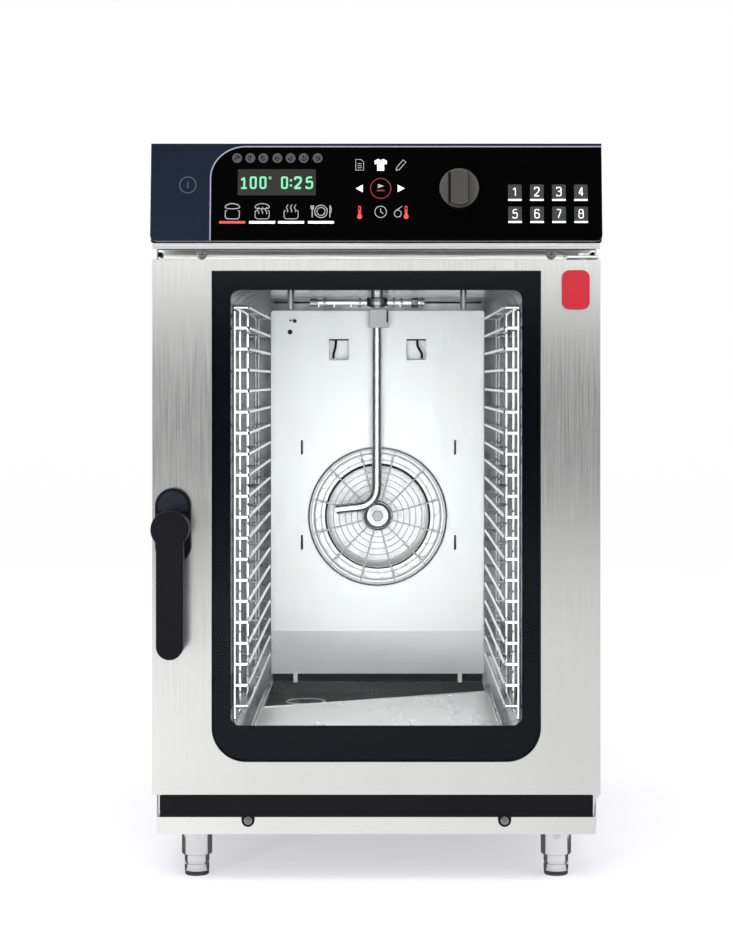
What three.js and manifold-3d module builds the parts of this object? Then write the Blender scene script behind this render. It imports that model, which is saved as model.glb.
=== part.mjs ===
// Counter-top combi steamer oven for ten GN 1/1 levels, in millimetres, +Z up.
// The origin is on the floor, under the middle of the object. -Y is the front and +X is the right.
// Inside the "cabinet" group, y is the distance behind the door's front face.
import * as THREE from "three";
import { mergeVertices } from "three/addons/utils/BufferGeometryUtils.js";
import Module from "manifold-3d";

const wasm = await Module();
wasm.setup();

// ---- Driving dimensions ----

const GAP = 0.3; // between pieces that touch
const SHEET = 1.5; // sheet metal
const DOOR_FRONT_Y = -336.5;
const ROUND = 16; // sides of a small round piece
const CORNER_STEPS = 4; // sides of a rounded corner

const CASING = { halfWidth: 257.5, front: 62, rear: 705, bottom: 59.8, roof: 851 };
const BASE = { halfWidth: 251.5, front: 6, apronTop: 79.5, wallTop: 100, wall: 2, rearWallTop: 62 };
const FASCIA = { bottomZ: 738.6, bottomY: -14, topY: 0, thickness: 5, cornerRadius: 7 };
const HOUSING = { lipBottom: 730, floor: 735, sheet: 2, lipY: -5, rear: 61.5 };
const FRAME = { thickness: 2, bottom: 80, top: 733, halfWidth: 255.5 };
const CHAMBER = { halfWidth: 185, floor: 150, ceiling: 693, rear: 676, cornerRadius: 27 };
const SUMP = { halfWidth: 150, leftFront: 380, rightFront: 528, rear: 645, depth: 18 };
const INSULATION = { halfWidth: 228, bottom: 122, top: 722, front: 66, rear: 700 };

const FAN = { z: 387, shaftRadius: 6, wheelRadius: 95, inletRadius: 75, front: 622, rear: 666, blades: 18 };
const MOTOR = { flange: 679, flangeRadius: 60, body: 682, bodyRadius: 50, rear: 721 };
const COVER = { half: 125, front: 705.3, rear: 725, centreZ: 387 };
const HEATER = { radius: 110, tubeRadius: 4, front: 630, pitch: 12, turns: 2.5 };

const BAFFLE = { halfWidth: 151.5, top: 679, fold: 224, bottom: 162, front: 616, foldBack: 8, flange: 12 };
const HOOK = { x: 55, z: 623, window: 28, tab: 12 };
const SLOT = { x: 109, height: 21, width: 3, levels: [485, 350] };
const GUARD = { radius: 98.5, wire: 2.4, rings: 4, hubRadius: 20, spokes: 8, front: 610 };
const PROBE = { x: -118, z: 664, radius: 2.5 };

const TUBE = {
  radius: 6.75,
  bore: 5.5,
  x: -1,
  y: 596,
  topZ: 654,
  bendZ: 446,
  bend: 35,
  endX: -58,
  endZ: 398,
};
const HOLDER = { left: -13, right: 16, bottom: 654.3, front: 584, rear: 612 };
const WASH = {
  y: 345,
  z: 682,
  hubRadius: 14,
  hubHeight: 12,
  feedRadius: 8,
  armRadius: 4,
  left: 87,
  right: 62,
};
const VENT = { x: -120, y: 600, radius: 25, wall: 2, top: 857 };
const DRAIN = { x: -100, y: 560, radius: 28, pipeRadius: 18, pipeZ: 84, rear: 722 };

const INLET = { x: 150, z: 92, radius: 12, front: 655, rear: 722 };
const GLAND = { x: 205, z: 92, radius: 12, front: 690, rear: 720 };

const RACK = {
  railX: 152,
  postX: 168.4,
  frontY: 88,
  rearY: 588,
  top: 666.75,
  bottom: 172,
  firstRung: 641.9,
  pitch: 24.85,
  rungs: 19,
  wire: 5,
  braces: [190, 344, 521],
  tie: 344,
};
const POCKET = { depth: 5, rise: 12.5 };

const DOOR = { halfWidth: 256.5, bottom: 106, top: 718.3, depth: 50, sheet: 2 };
const GLASS = { halfWidth: 188, bottom: 144, top: 705, cornerRadius: 39, front: 0.3, thickness: 5 };
const INNER = {
  halfWidth: 254,
  bottom: 108.5,
  top: 715.8,
  front: 47,
  windowX: 175,
  windowLow: 172,
  windowTop: 690,
};
const PANE = { halfWidth: 190, bottom: 157, top: 705, front: 42, thickness: 4.6 };
const GASKET = { halfWidth: 205, bottom: 131, top: 712, width: 12, rear: 61.5, cornerRadius: 30 };
const BADGE = { left: 212, right: 244, bottom: 661, top: 706, thickness: 4, cornerRadius: 9 };

const HINGE = { x: 238, y: 26, pinRadius: 5, left: 219, right: 256, plate: 4, reach: 12 };
const HANDLE = {
  x: -232,
  z: 412.5,
  headRadius: 21.4,
  gripWidth: 30.4,
  gripBottom: 266,
  front: -52,
  gripDepth: 24,
};
const PLATE = { width: 41, height: 87, thickness: 8, rise: 1 };
const LATCH = { radius: 5, front: 51, rear: 57, reach: 23, width: 12 };

const TROUGH = {
  halfWidth: 248,
  front: 2,
  rear: 61.5,
  top: 105,
  bottom: 80,
  wall: 3,
  step: 88,
  rearTop: 100,
};
const TROUGH_SCREW = { x: 147, z: 76, boss: 7.5, head: 5, shank: 2 };
const HOUSING_SCREW = { x: 204.7, z: 727.5, head: 6, shank: 2.5 };
const KNOB = { x: 94.5, z: 799, radius: 22.6, depth: 17, grip: 22, shaft: 3 };
const DISPLAY = { left: -160, right: -67, bottom: 787, top: 825 };
const BOARD = { left: -240, right: 245, low: 12, high: 100, front: 22, thickness: 1.6, post: 3 };

const FOOT = { x: 211, frontY: 73, rearY: 640, sleeve: 17.8, stem: 14.5, bore: 15.1, sleeveBottom: 24 };

// ---- Materials ----

const finish = (color, roughness, metalness, extra = {}) =>
  new THREE.MeshStandardMaterial({ color, roughness, metalness, ...extra });

const MATERIALS = {
  steel: finish(0xb9b9b7, 0.34, 1),
  polished: finish(0xc9cacb, 0.18, 1),
  galvanised: finish(0x9a9d9f, 0.5, 1),
  liner: finish(0xd5d6d6, 0.25, 1),
  wire: finish(0xd0d1d2, 0.2, 1),
  blackGlass: finish(0x0a0b0e, 0.08, 0),
  doorGlass: finish(0x1d2026, 0.06, 0, { transparent: true, opacity: 0.5 }),
  clearGlass: finish(0xdfe7e8, 0.05, 0, { transparent: true, opacity: 0.25 }),
  blackPlastic: finish(0x1c1c20, 0.45, 0),
  greyPlastic: finish(0xbfc0c0, 0.5, 0),
  knob: finish(0x3b3a37, 0.4, 0),
  rubber: finish(0x141414, 0.8, 0),
  badge: finish(0xe0303c, 0.25, 0),
  wool: finish(0xc9b98c, 0.95, 0),
  board: finish(0x1f5a38, 0.6, 0),
  motor: finish(0x55585c, 0.5, 0.8),
};

// ---- Solid helpers ----

function solidOf(geometry) {
  const bare = geometry.clone();
  bare.deleteAttribute("normal");
  bare.deleteAttribute("uv");
  const merged = mergeVertices(bare, 1e-4);
  return new wasm.Manifold(
    new wasm.Mesh({
      numProp: 3,
      vertProperties: merged.attributes.position.array,
      triVerts: new Uint32Array(merged.index.array),
    }),
  );
}

function geometryOf(solid) {
  const mesh = solid.getMesh();
  const geometry = new THREE.BufferGeometry();
  geometry.setAttribute("position", new THREE.BufferAttribute(new Float32Array(mesh.vertProperties), 3));
  geometry.setIndex(new THREE.BufferAttribute(new Uint32Array(mesh.triVerts), 1));
  const flat = geometry.toNonIndexed();
  flat.computeVertexNormals();
  return flat;
}

const join = (solids) => solids.reduce((whole, piece) => whole.add(piece));
const cut = (solid, tools) => tools.reduce((rest, tool) => rest.subtract(tool), solid);

// A block between two values on each axis.
function block([x0, x1], [y0, y1], [z0, z1]) {
  const geometry = new THREE.BoxGeometry(x1 - x0, y1 - y0, z1 - z0);
  geometry.translate((x0 + x1) / 2, (y0 + y1) / 2, (z0 + z1) / 2);
  return solidOf(geometry);
}

// A cylinder along an axis, between two values on that axis.
function rod(axis, radius, [from, to], centre, sides = ROUND) {
  const geometry = new THREE.CylinderGeometry(radius, radius, to - from, sides);
  if (axis === "x") geometry.rotateZ(-Math.PI / 2);
  if (axis === "z") geometry.rotateX(Math.PI / 2);
  const middle = (from + to) / 2;
  const [a, b] = centre;
  if (axis === "x") geometry.translate(middle, a, b);
  if (axis === "y") geometry.translate(a, middle, b);
  if (axis === "z") geometry.translate(a, b, middle);
  return solidOf(geometry);
}

const pipe = (axis, outer, inner, span, centre, sides = ROUND) =>
  rod(axis, outer, span, centre, sides).subtract(rod(axis, inner, [span[0] - 1, span[1] + 1], centre, sides));

// A front-view outline (x, z), made solid from y0 to y1.
function frontPlate(shape, [y0, y1], curveSegments = CORNER_STEPS) {
  const geometry = new THREE.ExtrudeGeometry(shape, { depth: y1 - y0, bevelEnabled: false, curveSegments });
  geometry.rotateX(Math.PI / 2);
  geometry.translate(0, y1, 0);
  return solidOf(geometry);
}

// A side-view outline of (y, z) points, made solid from x0 to x1.
function sidePlate(points, [x0, x1]) {
  const shape = new THREE.Shape(points.map(([y, z]) => new THREE.Vector2(y, z)));
  const geometry = new THREE.ExtrudeGeometry(shape, { depth: x1 - x0, bevelEnabled: false });
  geometry.applyMatrix4(new THREE.Matrix4().set(0, 0, 1, x0, 1, 0, 0, 0, 0, 1, 0, 0, 0, 0, 0, 1));
  return solidOf(geometry);
}

// A rectangle with a radius at its lower and one at its upper corners.
function roundedOutline([x0, x1], [z0, z1], lower, upper = lower) {
  const shape = new THREE.Shape();
  const right = Math.PI / 2;
  const corner = (x, z, radius, start) => {
    if (radius > 0) shape.absarc(x, z, radius, start, start + right, false);
    else shape.lineTo(x, z);
  };
  shape.moveTo(x0 + lower, z0);
  corner(x1 - lower, z0 + lower, lower, -right);
  corner(x1 - upper, z1 - upper, upper, 0);
  corner(x0 + upper, z1 - upper, upper, right);
  corner(x0 + lower, z0 + lower, lower, 2 * right);
  return shape;
}

const mirrored = (half) => [-half, half];

// ---- Scene helpers ----

const oven = new THREE.Group();
const cabinet = new THREE.Group();
cabinet.position.y = DOOR_FRONT_Y;
oven.add(cabinet);

function piece(parent, name, solid, material) {
  const mesh = new THREE.Mesh(geometryOf(solid), material);
  mesh.name = name;
  parent.add(mesh);
  return mesh;
}

// ---- Casing ----

const fasciaTilt = Math.atan((FASCIA.topY - FASCIA.bottomY) / (CASING.roof - FASCIA.bottomZ));
const fasciaLength = (CASING.roof - FASCIA.bottomZ) / Math.cos(fasciaTilt);
const fasciaBackAt = (z) =>
  FASCIA.bottomY + (z - FASCIA.bottomZ) * Math.tan(fasciaTilt) + (FASCIA.thickness + GAP) / Math.cos(fasciaTilt);

function baseFrame() {
  const { halfWidth, front, apronTop, wallTop, wall, rearWallTop } = BASE;
  const inside = CASING.halfWidth - SHEET - GAP;
  const behindFrame = CASING.front + FRAME.thickness + GAP;
  const sheet = [CASING.bottom, CASING.bottom + wall];
  const floor = block(mirrored(inside), [CASING.front, CASING.rear - 3], sheet);
  const toe = block(mirrored(halfWidth), [front, CASING.front + 1], sheet);
  const apron = frontPlate(
    roundedOutline(mirrored(halfWidth), [CASING.bottom, apronTop], 4, 0),
    [front, front + wall],
  );
  const rearWall = block(mirrored(inside), [CASING.rear - 5, CASING.rear - 3], [CASING.bottom, rearWallTop]);
  const sides = [-1, 1].flatMap((side) => {
    const span = (outer) => [side * outer, side * (outer - wall)].sort((a, b) => a - b);
    return [
      block(span(inside), [behindFrame, CASING.rear - 3], [CASING.bottom, wallTop]),
      block(span(halfWidth), [front, CASING.front - GAP], [CASING.bottom, apronTop]),
    ];
  });
  const screwHoles = [-1, 1].map((side) =>
    rod("y", TROUGH_SCREW.shank + GAP, [front - 1, front + wall + 1], [side * TROUGH_SCREW.x, TROUGH_SCREW.z], 12),
  );
  piece(cabinet, "base_frame", cut(join([floor, toe, apron, rearWall, ...sides]), screwHoles), MATERIALS.steel);
}

function sidePanel(name, side) {
  const top = CASING.roof - SHEET - GAP;
  const shoulder = FASCIA.bottomZ - 1;
  const outline = [
    [CASING.front, CASING.bottom],
    [CASING.rear, CASING.bottom],
    [CASING.rear, top],
    [fasciaBackAt(top), top],
    [fasciaBackAt(shoulder), shoulder],
    [CASING.front, shoulder],
  ];
  const outer = CASING.halfWidth;
  const span = side > 0 ? [outer - SHEET, outer] : [-outer, SHEET - outer];
  piece(cabinet, name, sidePlate(outline, span), MATERIALS.steel);
}

function topPanel() {
  const front = fasciaBackAt(CASING.roof);
  const sheet = block(mirrored(CASING.halfWidth), [front, CASING.rear], [CASING.roof - SHEET, CASING.roof]);
  const opening = rod("z", VENT.radius + 1, [CASING.roof - 3, CASING.roof + 3], [VENT.x, VENT.y]);
  piece(cabinet, "top_panel", sheet.subtract(opening), MATERIALS.steel);
}

function rearPanel() {
  const span = [CASING.rear - 2, CASING.rear - 0.5];
  const through = [span[0] - 1, span[1] + 1];
  const half = CASING.halfWidth - SHEET - GAP;
  const sheet = block(mirrored(half), span, [CASING.bottom + 2.5, CASING.roof - SHEET - GAP]);
  const motorOpening = block(mirrored(COVER.half - 15), through, [COVER.centreZ - 110, COVER.centreZ + 110]);
  const openings = [
    rod("y", DRAIN.pipeRadius + 1, through, [DRAIN.x, DRAIN.pipeZ]),
    rod("y", INLET.radius + 1, through, [INLET.x, INLET.z]),
    rod("y", GLAND.radius + 1, through, [GLAND.x, GLAND.z]),
  ];
  piece(cabinet, "rear_panel", cut(sheet, [motorOpening, ...openings]), MATERIALS.galvanised);
}

function motorCover() {
  const { half, front, rear, centreZ } = COVER;
  const span = (reach) => [centreZ - reach, centreZ + reach];
  const outside = frontPlate(roundedOutline(mirrored(half), span(half), 12), [front, rear]);
  const hollow = half - SHEET;
  const inside = frontPlate(roundedOutline(mirrored(hollow), span(hollow), 11), [front - 1, rear - SHEET]);
  const louvres = Array.from({ length: 9 }, (_, row) => {
    const z = centreZ + (row - 4) * 20;
    return block(mirrored(half - 35), [rear - 3, rear + 1], [z - 3, z + 3]);
  });
  piece(cabinet, "motor_cover", cut(outside, [inside, ...louvres]), MATERIALS.galvanised);
}

function frontFrame() {
  const outline = roundedOutline(mirrored(FRAME.halfWidth), [FRAME.bottom, FRAME.top], 0);
  const edge = SHEET + 0.5;
  outline.holes.push(
    roundedOutline(
      mirrored(CHAMBER.halfWidth + edge),
      [CHAMBER.floor - edge, CHAMBER.ceiling + edge],
      CHAMBER.cornerRadius + edge,
    ),
  );
  const span = [CASING.front, CASING.front + FRAME.thickness];
  const holes = [-1, 1].map((side) =>
    rod("y", HOUSING_SCREW.shank + GAP, [span[0] - 1, span[1] + 1], [side * HOUSING_SCREW.x, HOUSING_SCREW.z], 12),
  );
  piece(cabinet, "front_frame", cut(frontPlate(outline, span), holes), MATERIALS.steel);
}

// ---- Cooking chamber ----

const chamberOutline = (grow) =>
  roundedOutline(
    mirrored(CHAMBER.halfWidth + grow),
    [CHAMBER.floor - grow, CHAMBER.ceiling + grow],
    CHAMBER.cornerRadius + grow,
  );

// The gutter in the chamber's floor, a wedge in plan that widens towards the drain.
function sumpSolid(grow, [z0, z1]) {
  const { halfWidth, leftFront, rightFront, rear } = SUMP;
  const points = [
    [-halfWidth - grow, leftFront - grow],
    [halfWidth + grow, rightFront - grow],
    [halfWidth + grow, rear + grow],
    [-halfWidth - grow, rear + grow],
  ];
  const shape = new THREE.Shape(points.map(([x, y]) => new THREE.Vector2(x, y)));
  const geometry = new THREE.ExtrudeGeometry(shape, { depth: z1 - z0, bevelEnabled: false });
  geometry.translate(0, 0, z0);
  return solidOf(geometry);
}

const sumpFloor = CHAMBER.floor - SUMP.depth;

// A rack's four stubs leave its posts at the height of its first and its last pan rung.
const rackStubs = () => {
  const heights = [RACK.firstRung, RACK.firstRung - (RACK.rungs - 1) * RACK.pitch];
  return [RACK.frontY, RACK.rearY].flatMap((y) => heights.map((z) => [y, z]));
};

// A pocket pressed out of the chamber's wall, in which a stub of a rack sits and can rise.
function rackPocket(side, y, z, grow) {
  const wall = CHAMBER.halfWidth;
  const span = side > 0 ? [wall - 1, wall + POCKET.depth + grow] : [-wall - POCKET.depth - grow, 1 - wall];
  const half = RACK.wire / 2 + GAP + grow;
  return block(span, [y - half, y + half], [z - half, z + POCKET.rise + half]);
}

const rackPockets = (grow) =>
  [-1, 1].flatMap((side) => rackStubs().map(([y, z]) => rackPocket(side, y, z, grow)));

function cavityLiner() {
  const outside = frontPlate(chamberOutline(SHEET), [CASING.front, CHAMBER.rear + SHEET]);
  const inside = frontPlate(chamberOutline(0), [CASING.front - 1, CHAMBER.rear]);
  const gutter = sumpSolid(SHEET, [sumpFloor - SHEET, CHAMBER.floor - 0.5]);
  const gutterInside = sumpSolid(0, [sumpFloor, CHAMBER.floor + 1]);
  const throughCeiling = [CHAMBER.ceiling - 1, CHAMBER.ceiling + 3];
  const throughRear = [CHAMBER.rear - 1, CHAMBER.rear + 3];
  const holes = [
    rod("y", FAN.shaftRadius + 2, throughRear, [0, FAN.z]),
    rod("y", PROBE.radius + GAP, throughRear, [PROBE.x, PROBE.z], 12),
    ...heaterLeads().map(([x, z]) => rod("y", HEATER.tubeRadius + 0.5, throughRear, [x, z], 12)),
    rod("z", DRAIN.radius + 0.8, [sumpFloor - 3, sumpFloor + 1], [DRAIN.x, DRAIN.y]),
    rod("z", VENT.radius - VENT.wall, throughCeiling, [VENT.x, VENT.y]),
    rod("z", WASH.feedRadius + 0.5, throughCeiling, [0, WASH.y]),
  ];
  const hooks = [-1, 1].map((side) => baffleHook(side));
  const hollow = [inside, gutterInside, ...rackPockets(0), ...holes];
  const shell = cut(join([outside, gutter, ...rackPockets(SHEET)]), hollow);
  piece(cabinet, "cavity_liner", join([shell, ...hooks]), MATERIALS.liner);
}

// A strip from the rear wall that passes the baffle's window and turns up in front of it.
function baffleHook(side) {
  const x = [side * HOOK.x - HOOK.tab / 2, side * HOOK.x + HOOK.tab / 2];
  const bottom = HOOK.z - 4;
  const arm = block(x, [BAFFLE.front - 5, CHAMBER.rear + 0.5], [bottom, bottom + 2]);
  const lip = block(x, [BAFFLE.front - 5, BAFFLE.front - 3], [bottom, bottom + 12]);
  return arm.add(lip);
}

function insulationJacket() {
  const { halfWidth, bottom, top, front, rear } = INSULATION;
  const outside = block(mirrored(halfWidth), [front, rear], [bottom, top]);
  const inside = frontPlate(chamberOutline(SHEET + 0.5), [front - 1, CHAMBER.rear + SHEET + 0.5]);
  const gutter = sumpSolid(SHEET + 0.5, [sumpFloor - SHEET - 0.5, CHAMBER.floor]);
  const holes = [
    rod("y", MOTOR.flangeRadius + 3, [CHAMBER.rear, rear + 1], [0, FAN.z]),
    rod("y", PROBE.radius + 2, [CHAMBER.rear, rear + 1], [PROBE.x, PROBE.z], 12),
    ...heaterLeads().map(([x, z]) => rod("y", HEATER.tubeRadius + 2, [CHAMBER.rear, rear + 1], [x, z], 12)),
    rod("z", DRAIN.radius + 3, [bottom - 1, CHAMBER.floor], [DRAIN.x, DRAIN.y]),
    rod("z", VENT.radius + 2, [CHAMBER.ceiling, top + 1], [VENT.x, VENT.y]),
    rod("z", WASH.feedRadius + 2, [CHAMBER.ceiling, top + 1], [0, WASH.y]),
  ];
  const pockets = rackPockets(SHEET + 0.5);
  piece(cabinet, "insulation_jacket", cut(outside, [inside, gutter, ...pockets, ...holes]), MATERIALS.wool);
}

function fanBaffle() {
  const { halfWidth, top, fold, bottom, front, foldBack, flange } = BAFFLE;
  const face = sidePlate(
    [
      [front, top],
      [front, fold],
      [front + foldBack, bottom],
      [front + foldBack + SHEET, bottom],
      [front + SHEET, fold],
      [front + SHEET, top],
    ],
    mirrored(halfWidth),
  );
  const flanges = [-1, 1].map((side) => {
    const x = side > 0 ? [halfWidth - SHEET, halfWidth] : [-halfWidth, SHEET - halfWidth];
    return sidePlate(
      [
        [front, top],
        [front, fold],
        [front + foldBack, bottom],
        [front + foldBack + flange, bottom],
        [front + flange, fold],
        [front + flange, top],
      ],
      x,
    );
  });
  const posts = [-1, 1].flatMap((side) =>
    [bottom + 90, top - 90].map((z) => rod("y", 4, [front + 1, CHAMBER.rear - GAP], [side * 138, z], 12)),
  );
  const through = [front - 1, front + 4];
  const openings = [
    rod("y", FAN.inletRadius + 15, through, [0, FAN.z], 40),
    rod("y", PROBE.radius + 1, through, [PROBE.x, PROBE.z], 12),
    ...[-1, 1].flatMap((side) => [
      block([side * HOOK.x - HOOK.window / 2, side * HOOK.x + HOOK.window / 2], through, [
        HOOK.z - HOOK.window / 2,
        HOOK.z + HOOK.window / 2,
      ]),
      ...SLOT.levels.map((z) =>
        block([side * SLOT.x - SLOT.width / 2, side * SLOT.x + SLOT.width / 2], through, [
          z - SLOT.height / 2,
          z + SLOT.height / 2,
        ]),
      ),
    ]),
  ];
  piece(cabinet, "fan_baffle", cut(join([face, ...flanges, ...posts]), openings), MATERIALS.liner);
}

function fanGuard() {
  const { radius, wire, rings, hubRadius, spokes, front } = GUARD;
  const pitch = (radius - wire / 2 - hubRadius) / rings;
  const hoops = Array.from({ length: rings + 1 }, (_, ring) => {
    const middle = hubRadius + ring * pitch;
    return pipe("y", middle + wire / 2, middle - wire / 2, [front, front + wire], [0, FAN.z], 20);
  });
  const bars = Array.from({ length: spokes }, (_, spoke) => {
    const geometry = new THREE.BoxGeometry(radius - hubRadius - wire / 2, wire, wire);
    geometry.translate((radius + hubRadius) / 2, 0, 0);
    geometry.rotateY((spoke * 2 * Math.PI) / spokes);
    geometry.translate(0, front + 1.5 * wire - 0.2, FAN.z);
    return solidOf(geometry);
  });
  piece(cabinet, "fan_guard", join([...hoops, ...bars]), MATERIALS.wire);
}

// Where the ring heater's two leads pass the rear wall.
function heaterLeads() {
  const start = Math.PI / 4;
  const end = start + HEATER.turns * 2 * Math.PI;
  return [start, end].map((angle) => [HEATER.radius * Math.cos(angle), FAN.z + HEATER.radius * Math.sin(angle)]);
}

function heatingElement() {
  const { radius, tubeRadius, front, pitch, turns } = HEATER;
  const start = Math.PI / 4;
  const steps = 48;
  const coil = Array.from({ length: steps + 1 }, (_, step) => {
    const part = step / steps;
    const angle = start + part * turns * 2 * Math.PI;
    const y = front + pitch * turns * (1 - part);
    return new THREE.Vector3(radius * Math.cos(angle), y, FAN.z + radius * Math.sin(angle));
  });
  const section = new THREE.Shape().absarc(0, 0, tubeRadius, 0, 2 * Math.PI, false);
  const coilGeometry = new THREE.ExtrudeGeometry(section, {
    steps,
    curveSegments: 3,
    bevelEnabled: false,
    extrudePath: new THREE.CatmullRomCurve3(coil),
  });
  const leadStart = [front + pitch * turns, front];
  const leads = heaterLeads().map((centre, index) =>
    rod("y", tubeRadius, [leadStart[index] - tubeRadius, INSULATION.rear - 2], centre, 12),
  );
  piece(cabinet, "heating_element", join([solidOf(coilGeometry), ...leads]), MATERIALS.polished);
}

function steamTube() {
  const { radius, bore, x, y, topZ, bendZ, bend, endX, endZ } = TUBE;
  const route = new THREE.CurvePath();
  const top = new THREE.Vector3(x, y, topZ);
  const bendStart = new THREE.Vector3(x, y, bendZ);
  const elbow = new THREE.Vector3(x, y, bendZ - bend);
  const bendEnd = new THREE.Vector3(x - bend, y, bendZ - bend - 3);
  route.add(new THREE.LineCurve3(top, bendStart));
  route.add(new THREE.QuadraticBezierCurve3(bendStart, elbow, bendEnd));
  route.add(new THREE.LineCurve3(bendEnd, new THREE.Vector3(endX, y, endZ)));
  const points = route.getSpacedPoints(60);
  const section = new THREE.Shape().absarc(0, 0, radius, 0, 2 * Math.PI, false);
  section.holes.push(new THREE.Path().absarc(0, 0, bore, 0, 2 * Math.PI, true));
  const geometry = new THREE.ExtrudeGeometry(section, {
    steps: 18,
    curveSegments: 5,
    bevelEnabled: false,
    extrudePath: new THREE.CatmullRomCurve3(points),
  });
  piece(cabinet, "steam_tube", solidOf(geometry), MATERIALS.polished);
}

function tubeHolder() {
  const { left, right, bottom, front, rear } = HOLDER;
  const body = block([left, right], [front, rear], [bottom, bottom + 26]);
  const neck = rod("z", 8, [bottom + 25, CHAMBER.ceiling - GAP], [(left + right) / 2, (front + rear) / 2]);
  piece(cabinet, "tube_holder", body.add(neck), MATERIALS.greyPlastic);
}

function temperatureProbe() {
  const stem = rod("y", PROBE.radius, [BAFFLE.front - 10, INSULATION.rear - 2], [PROBE.x, PROBE.z], 12);
  piece(cabinet, "temperature_probe", stem, MATERIALS.polished);
}

function ventPipe() {
  const span = [CHAMBER.ceiling + SHEET + GAP, VENT.top];
  const tube = pipe("z", VENT.radius, VENT.radius - VENT.wall, span, [VENT.x, VENT.y]);
  piece(cabinet, "vent_pipe", tube, MATERIALS.polished);
}

function drain() {
  const { x, y, radius, pipeRadius, pipeZ, rear } = DRAIN;
  const disc = rod("z", radius, [sumpFloor - SHEET, sumpFloor + 1], [x, y]);
  const holes = Array.from({ length: 6 }, (_, index) => {
    const angle = (index * Math.PI) / 3;
    const centre = [x + 14 * Math.cos(angle), y + 14 * Math.sin(angle)];
    return rod("z", 4, [sumpFloor - 4, sumpFloor + 4], centre, 10);
  });
  piece(cabinet, "drain_strainer", cut(disc, holes), MATERIALS.polished);

  const top = sumpFloor - SHEET - GAP;
  const outside = join([
    rod("z", radius, [top - 12, top], [x, y]),
    rod("z", pipeRadius, [pipeZ, top], [x, y]),
    rod("y", pipeRadius, [y - pipeRadius, rear], [x, pipeZ]),
  ]);
  const inside = join([
    rod("z", radius - 2, [top - 10, top + 1], [x, y]),
    rod("z", pipeRadius - 2, [pipeZ, top], [x, y]),
    rod("y", pipeRadius - 2, [y - pipeRadius + 2, rear + 1], [x, pipeZ]),
  ]);
  piece(cabinet, "drain_pipe", outside.subtract(inside), MATERIALS.greyPlastic);
}

function washSystem() {
  const { y, z, hubRadius, hubHeight, feedRadius, armRadius, left, right } = WASH;
  const feed = pipe("z", feedRadius, feedRadius - 2, [z - 2, INSULATION.top + 10], [0, y]);
  piece(cabinet, "wash_feed", feed, MATERIALS.polished);

  const arm = new THREE.Group();
  arm.position.set(0, y, z);
  cabinet.add(arm);
  const hub = rod("z", hubRadius, [-hubHeight / 2 - 2, hubHeight / 2], [0, 0]);
  const socket = rod("z", feedRadius + 0.6, [-2.5, hubHeight], [0, 0]);
  const arms = [
    rod("x", armRadius, [-left, -feedRadius - 3], [0, -1], 12),
    rod("x", armRadius, [feedRadius + 3, right], [0, -1], 12),
    rod("x", armRadius + 2.5, [right - 18, right - 8], [0, -1], 6),
    rod("x", armRadius + 1.5, [-left, 10 - left], [0, -1], 12),
  ];
  piece(arm, "wash_arm", cut(join([hub, ...arms]), [socket]), MATERIALS.polished);
}

// ---- Fan ----

function fan() {
  const group = new THREE.Group();
  group.position.z = FAN.z;
  cabinet.add(group);
  const { shaftRadius, wheelRadius, inletRadius, front, rear, blades } = FAN;
  const hub = rod("y", 20, [front + 6, rear], [0, 0]);
  const disc = rod("y", wheelRadius, [rear - 2, rear], [0, 0], 32);
  const ring = pipe("y", wheelRadius, inletRadius, [front, front + 2], [0, 0], 32);
  const vanes = Array.from({ length: blades }, (_, index) => {
    const geometry = new THREE.BoxGeometry(wheelRadius - inletRadius - 2, rear - front - 1, 1.6);
    geometry.rotateY(0.5);
    geometry.translate((wheelRadius + inletRadius) / 2, (front + rear) / 2, 0);
    geometry.rotateY((index * 2 * Math.PI) / blades);
    return solidOf(geometry);
  });
  const bore = rod("y", shaftRadius + GAP, [front, rear + 1], [0, 0]);
  piece(group, "fan_wheel", join([disc, ring, hub, ...vanes]).subtract(bore), MATERIALS.polished);

  const shaft = rod("y", shaftRadius, [front + 2, MOTOR.body + 20], [0, 0]);
  const nut = rod("y", shaftRadius + 6, [front + 1, front + 6 - GAP], [0, 0], 6);
  piece(group, "fan_shaft", shaft.add(nut), MATERIALS.polished);

  const flange = rod("y", MOTOR.flangeRadius, [MOTOR.flange, MOTOR.body + 0.5], [0, 0], 32);
  const body = rod("y", MOTOR.bodyRadius, [MOTOR.body, MOTOR.rear], [0, 0], 32);
  const bearing = rod("y", shaftRadius + 0.6, [MOTOR.flange - 1, MOTOR.body + 21], [0, 0]);
  piece(group, "fan_motor", cut(flange.add(body), [bearing]), MATERIALS.motor);
}

// ---- Racks ----

function rack(name, side) {
  const { railX, postX, frontY, rearY, top, bottom, pitch, rungs, wire, braces, tie } = RACK;
  const half = wire / 2;
  const around = (value) => [value - half, value + half];
  const across = (from, to) => (side > 0 ? [from, to] : [-to, -from]);
  const postPlane = across(postX - half, postX + half);
  const railPlane = across(railX - half, railX + half);
  const posts = [frontY, rearY].map((y) => block(postPlane, around(y), [bottom, top + half]));
  const endWires = [top, bottom + half].map((z) => block(postPlane, [frontY, rearY], around(z)));
  const uprights = braces.map((y) => block(postPlane, around(y), [bottom + 1, top]));
  const heights = Array.from({ length: rungs + 1 }, (_, index) => top - index * pitch);
  const rails = heights.map((height) => {
    const z = around(height);
    const ends = [frontY, tie, rearY].map((y) => block(across(railX - half, postX), around(y), z));
    return join([block(railPlane, [frontY, rearY], z), ...ends]);
  });
  const reach = across(postX, CHAMBER.halfWidth + POCKET.depth - 2);
  const stubs = rackStubs().map(([y, z]) => block(reach, around(y), around(z)));
  piece(cabinet, name, join([...posts, ...endWires, ...rails, ...uprights, ...stubs]), MATERIALS.wire);
}

// ---- Rear connections ----

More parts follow.
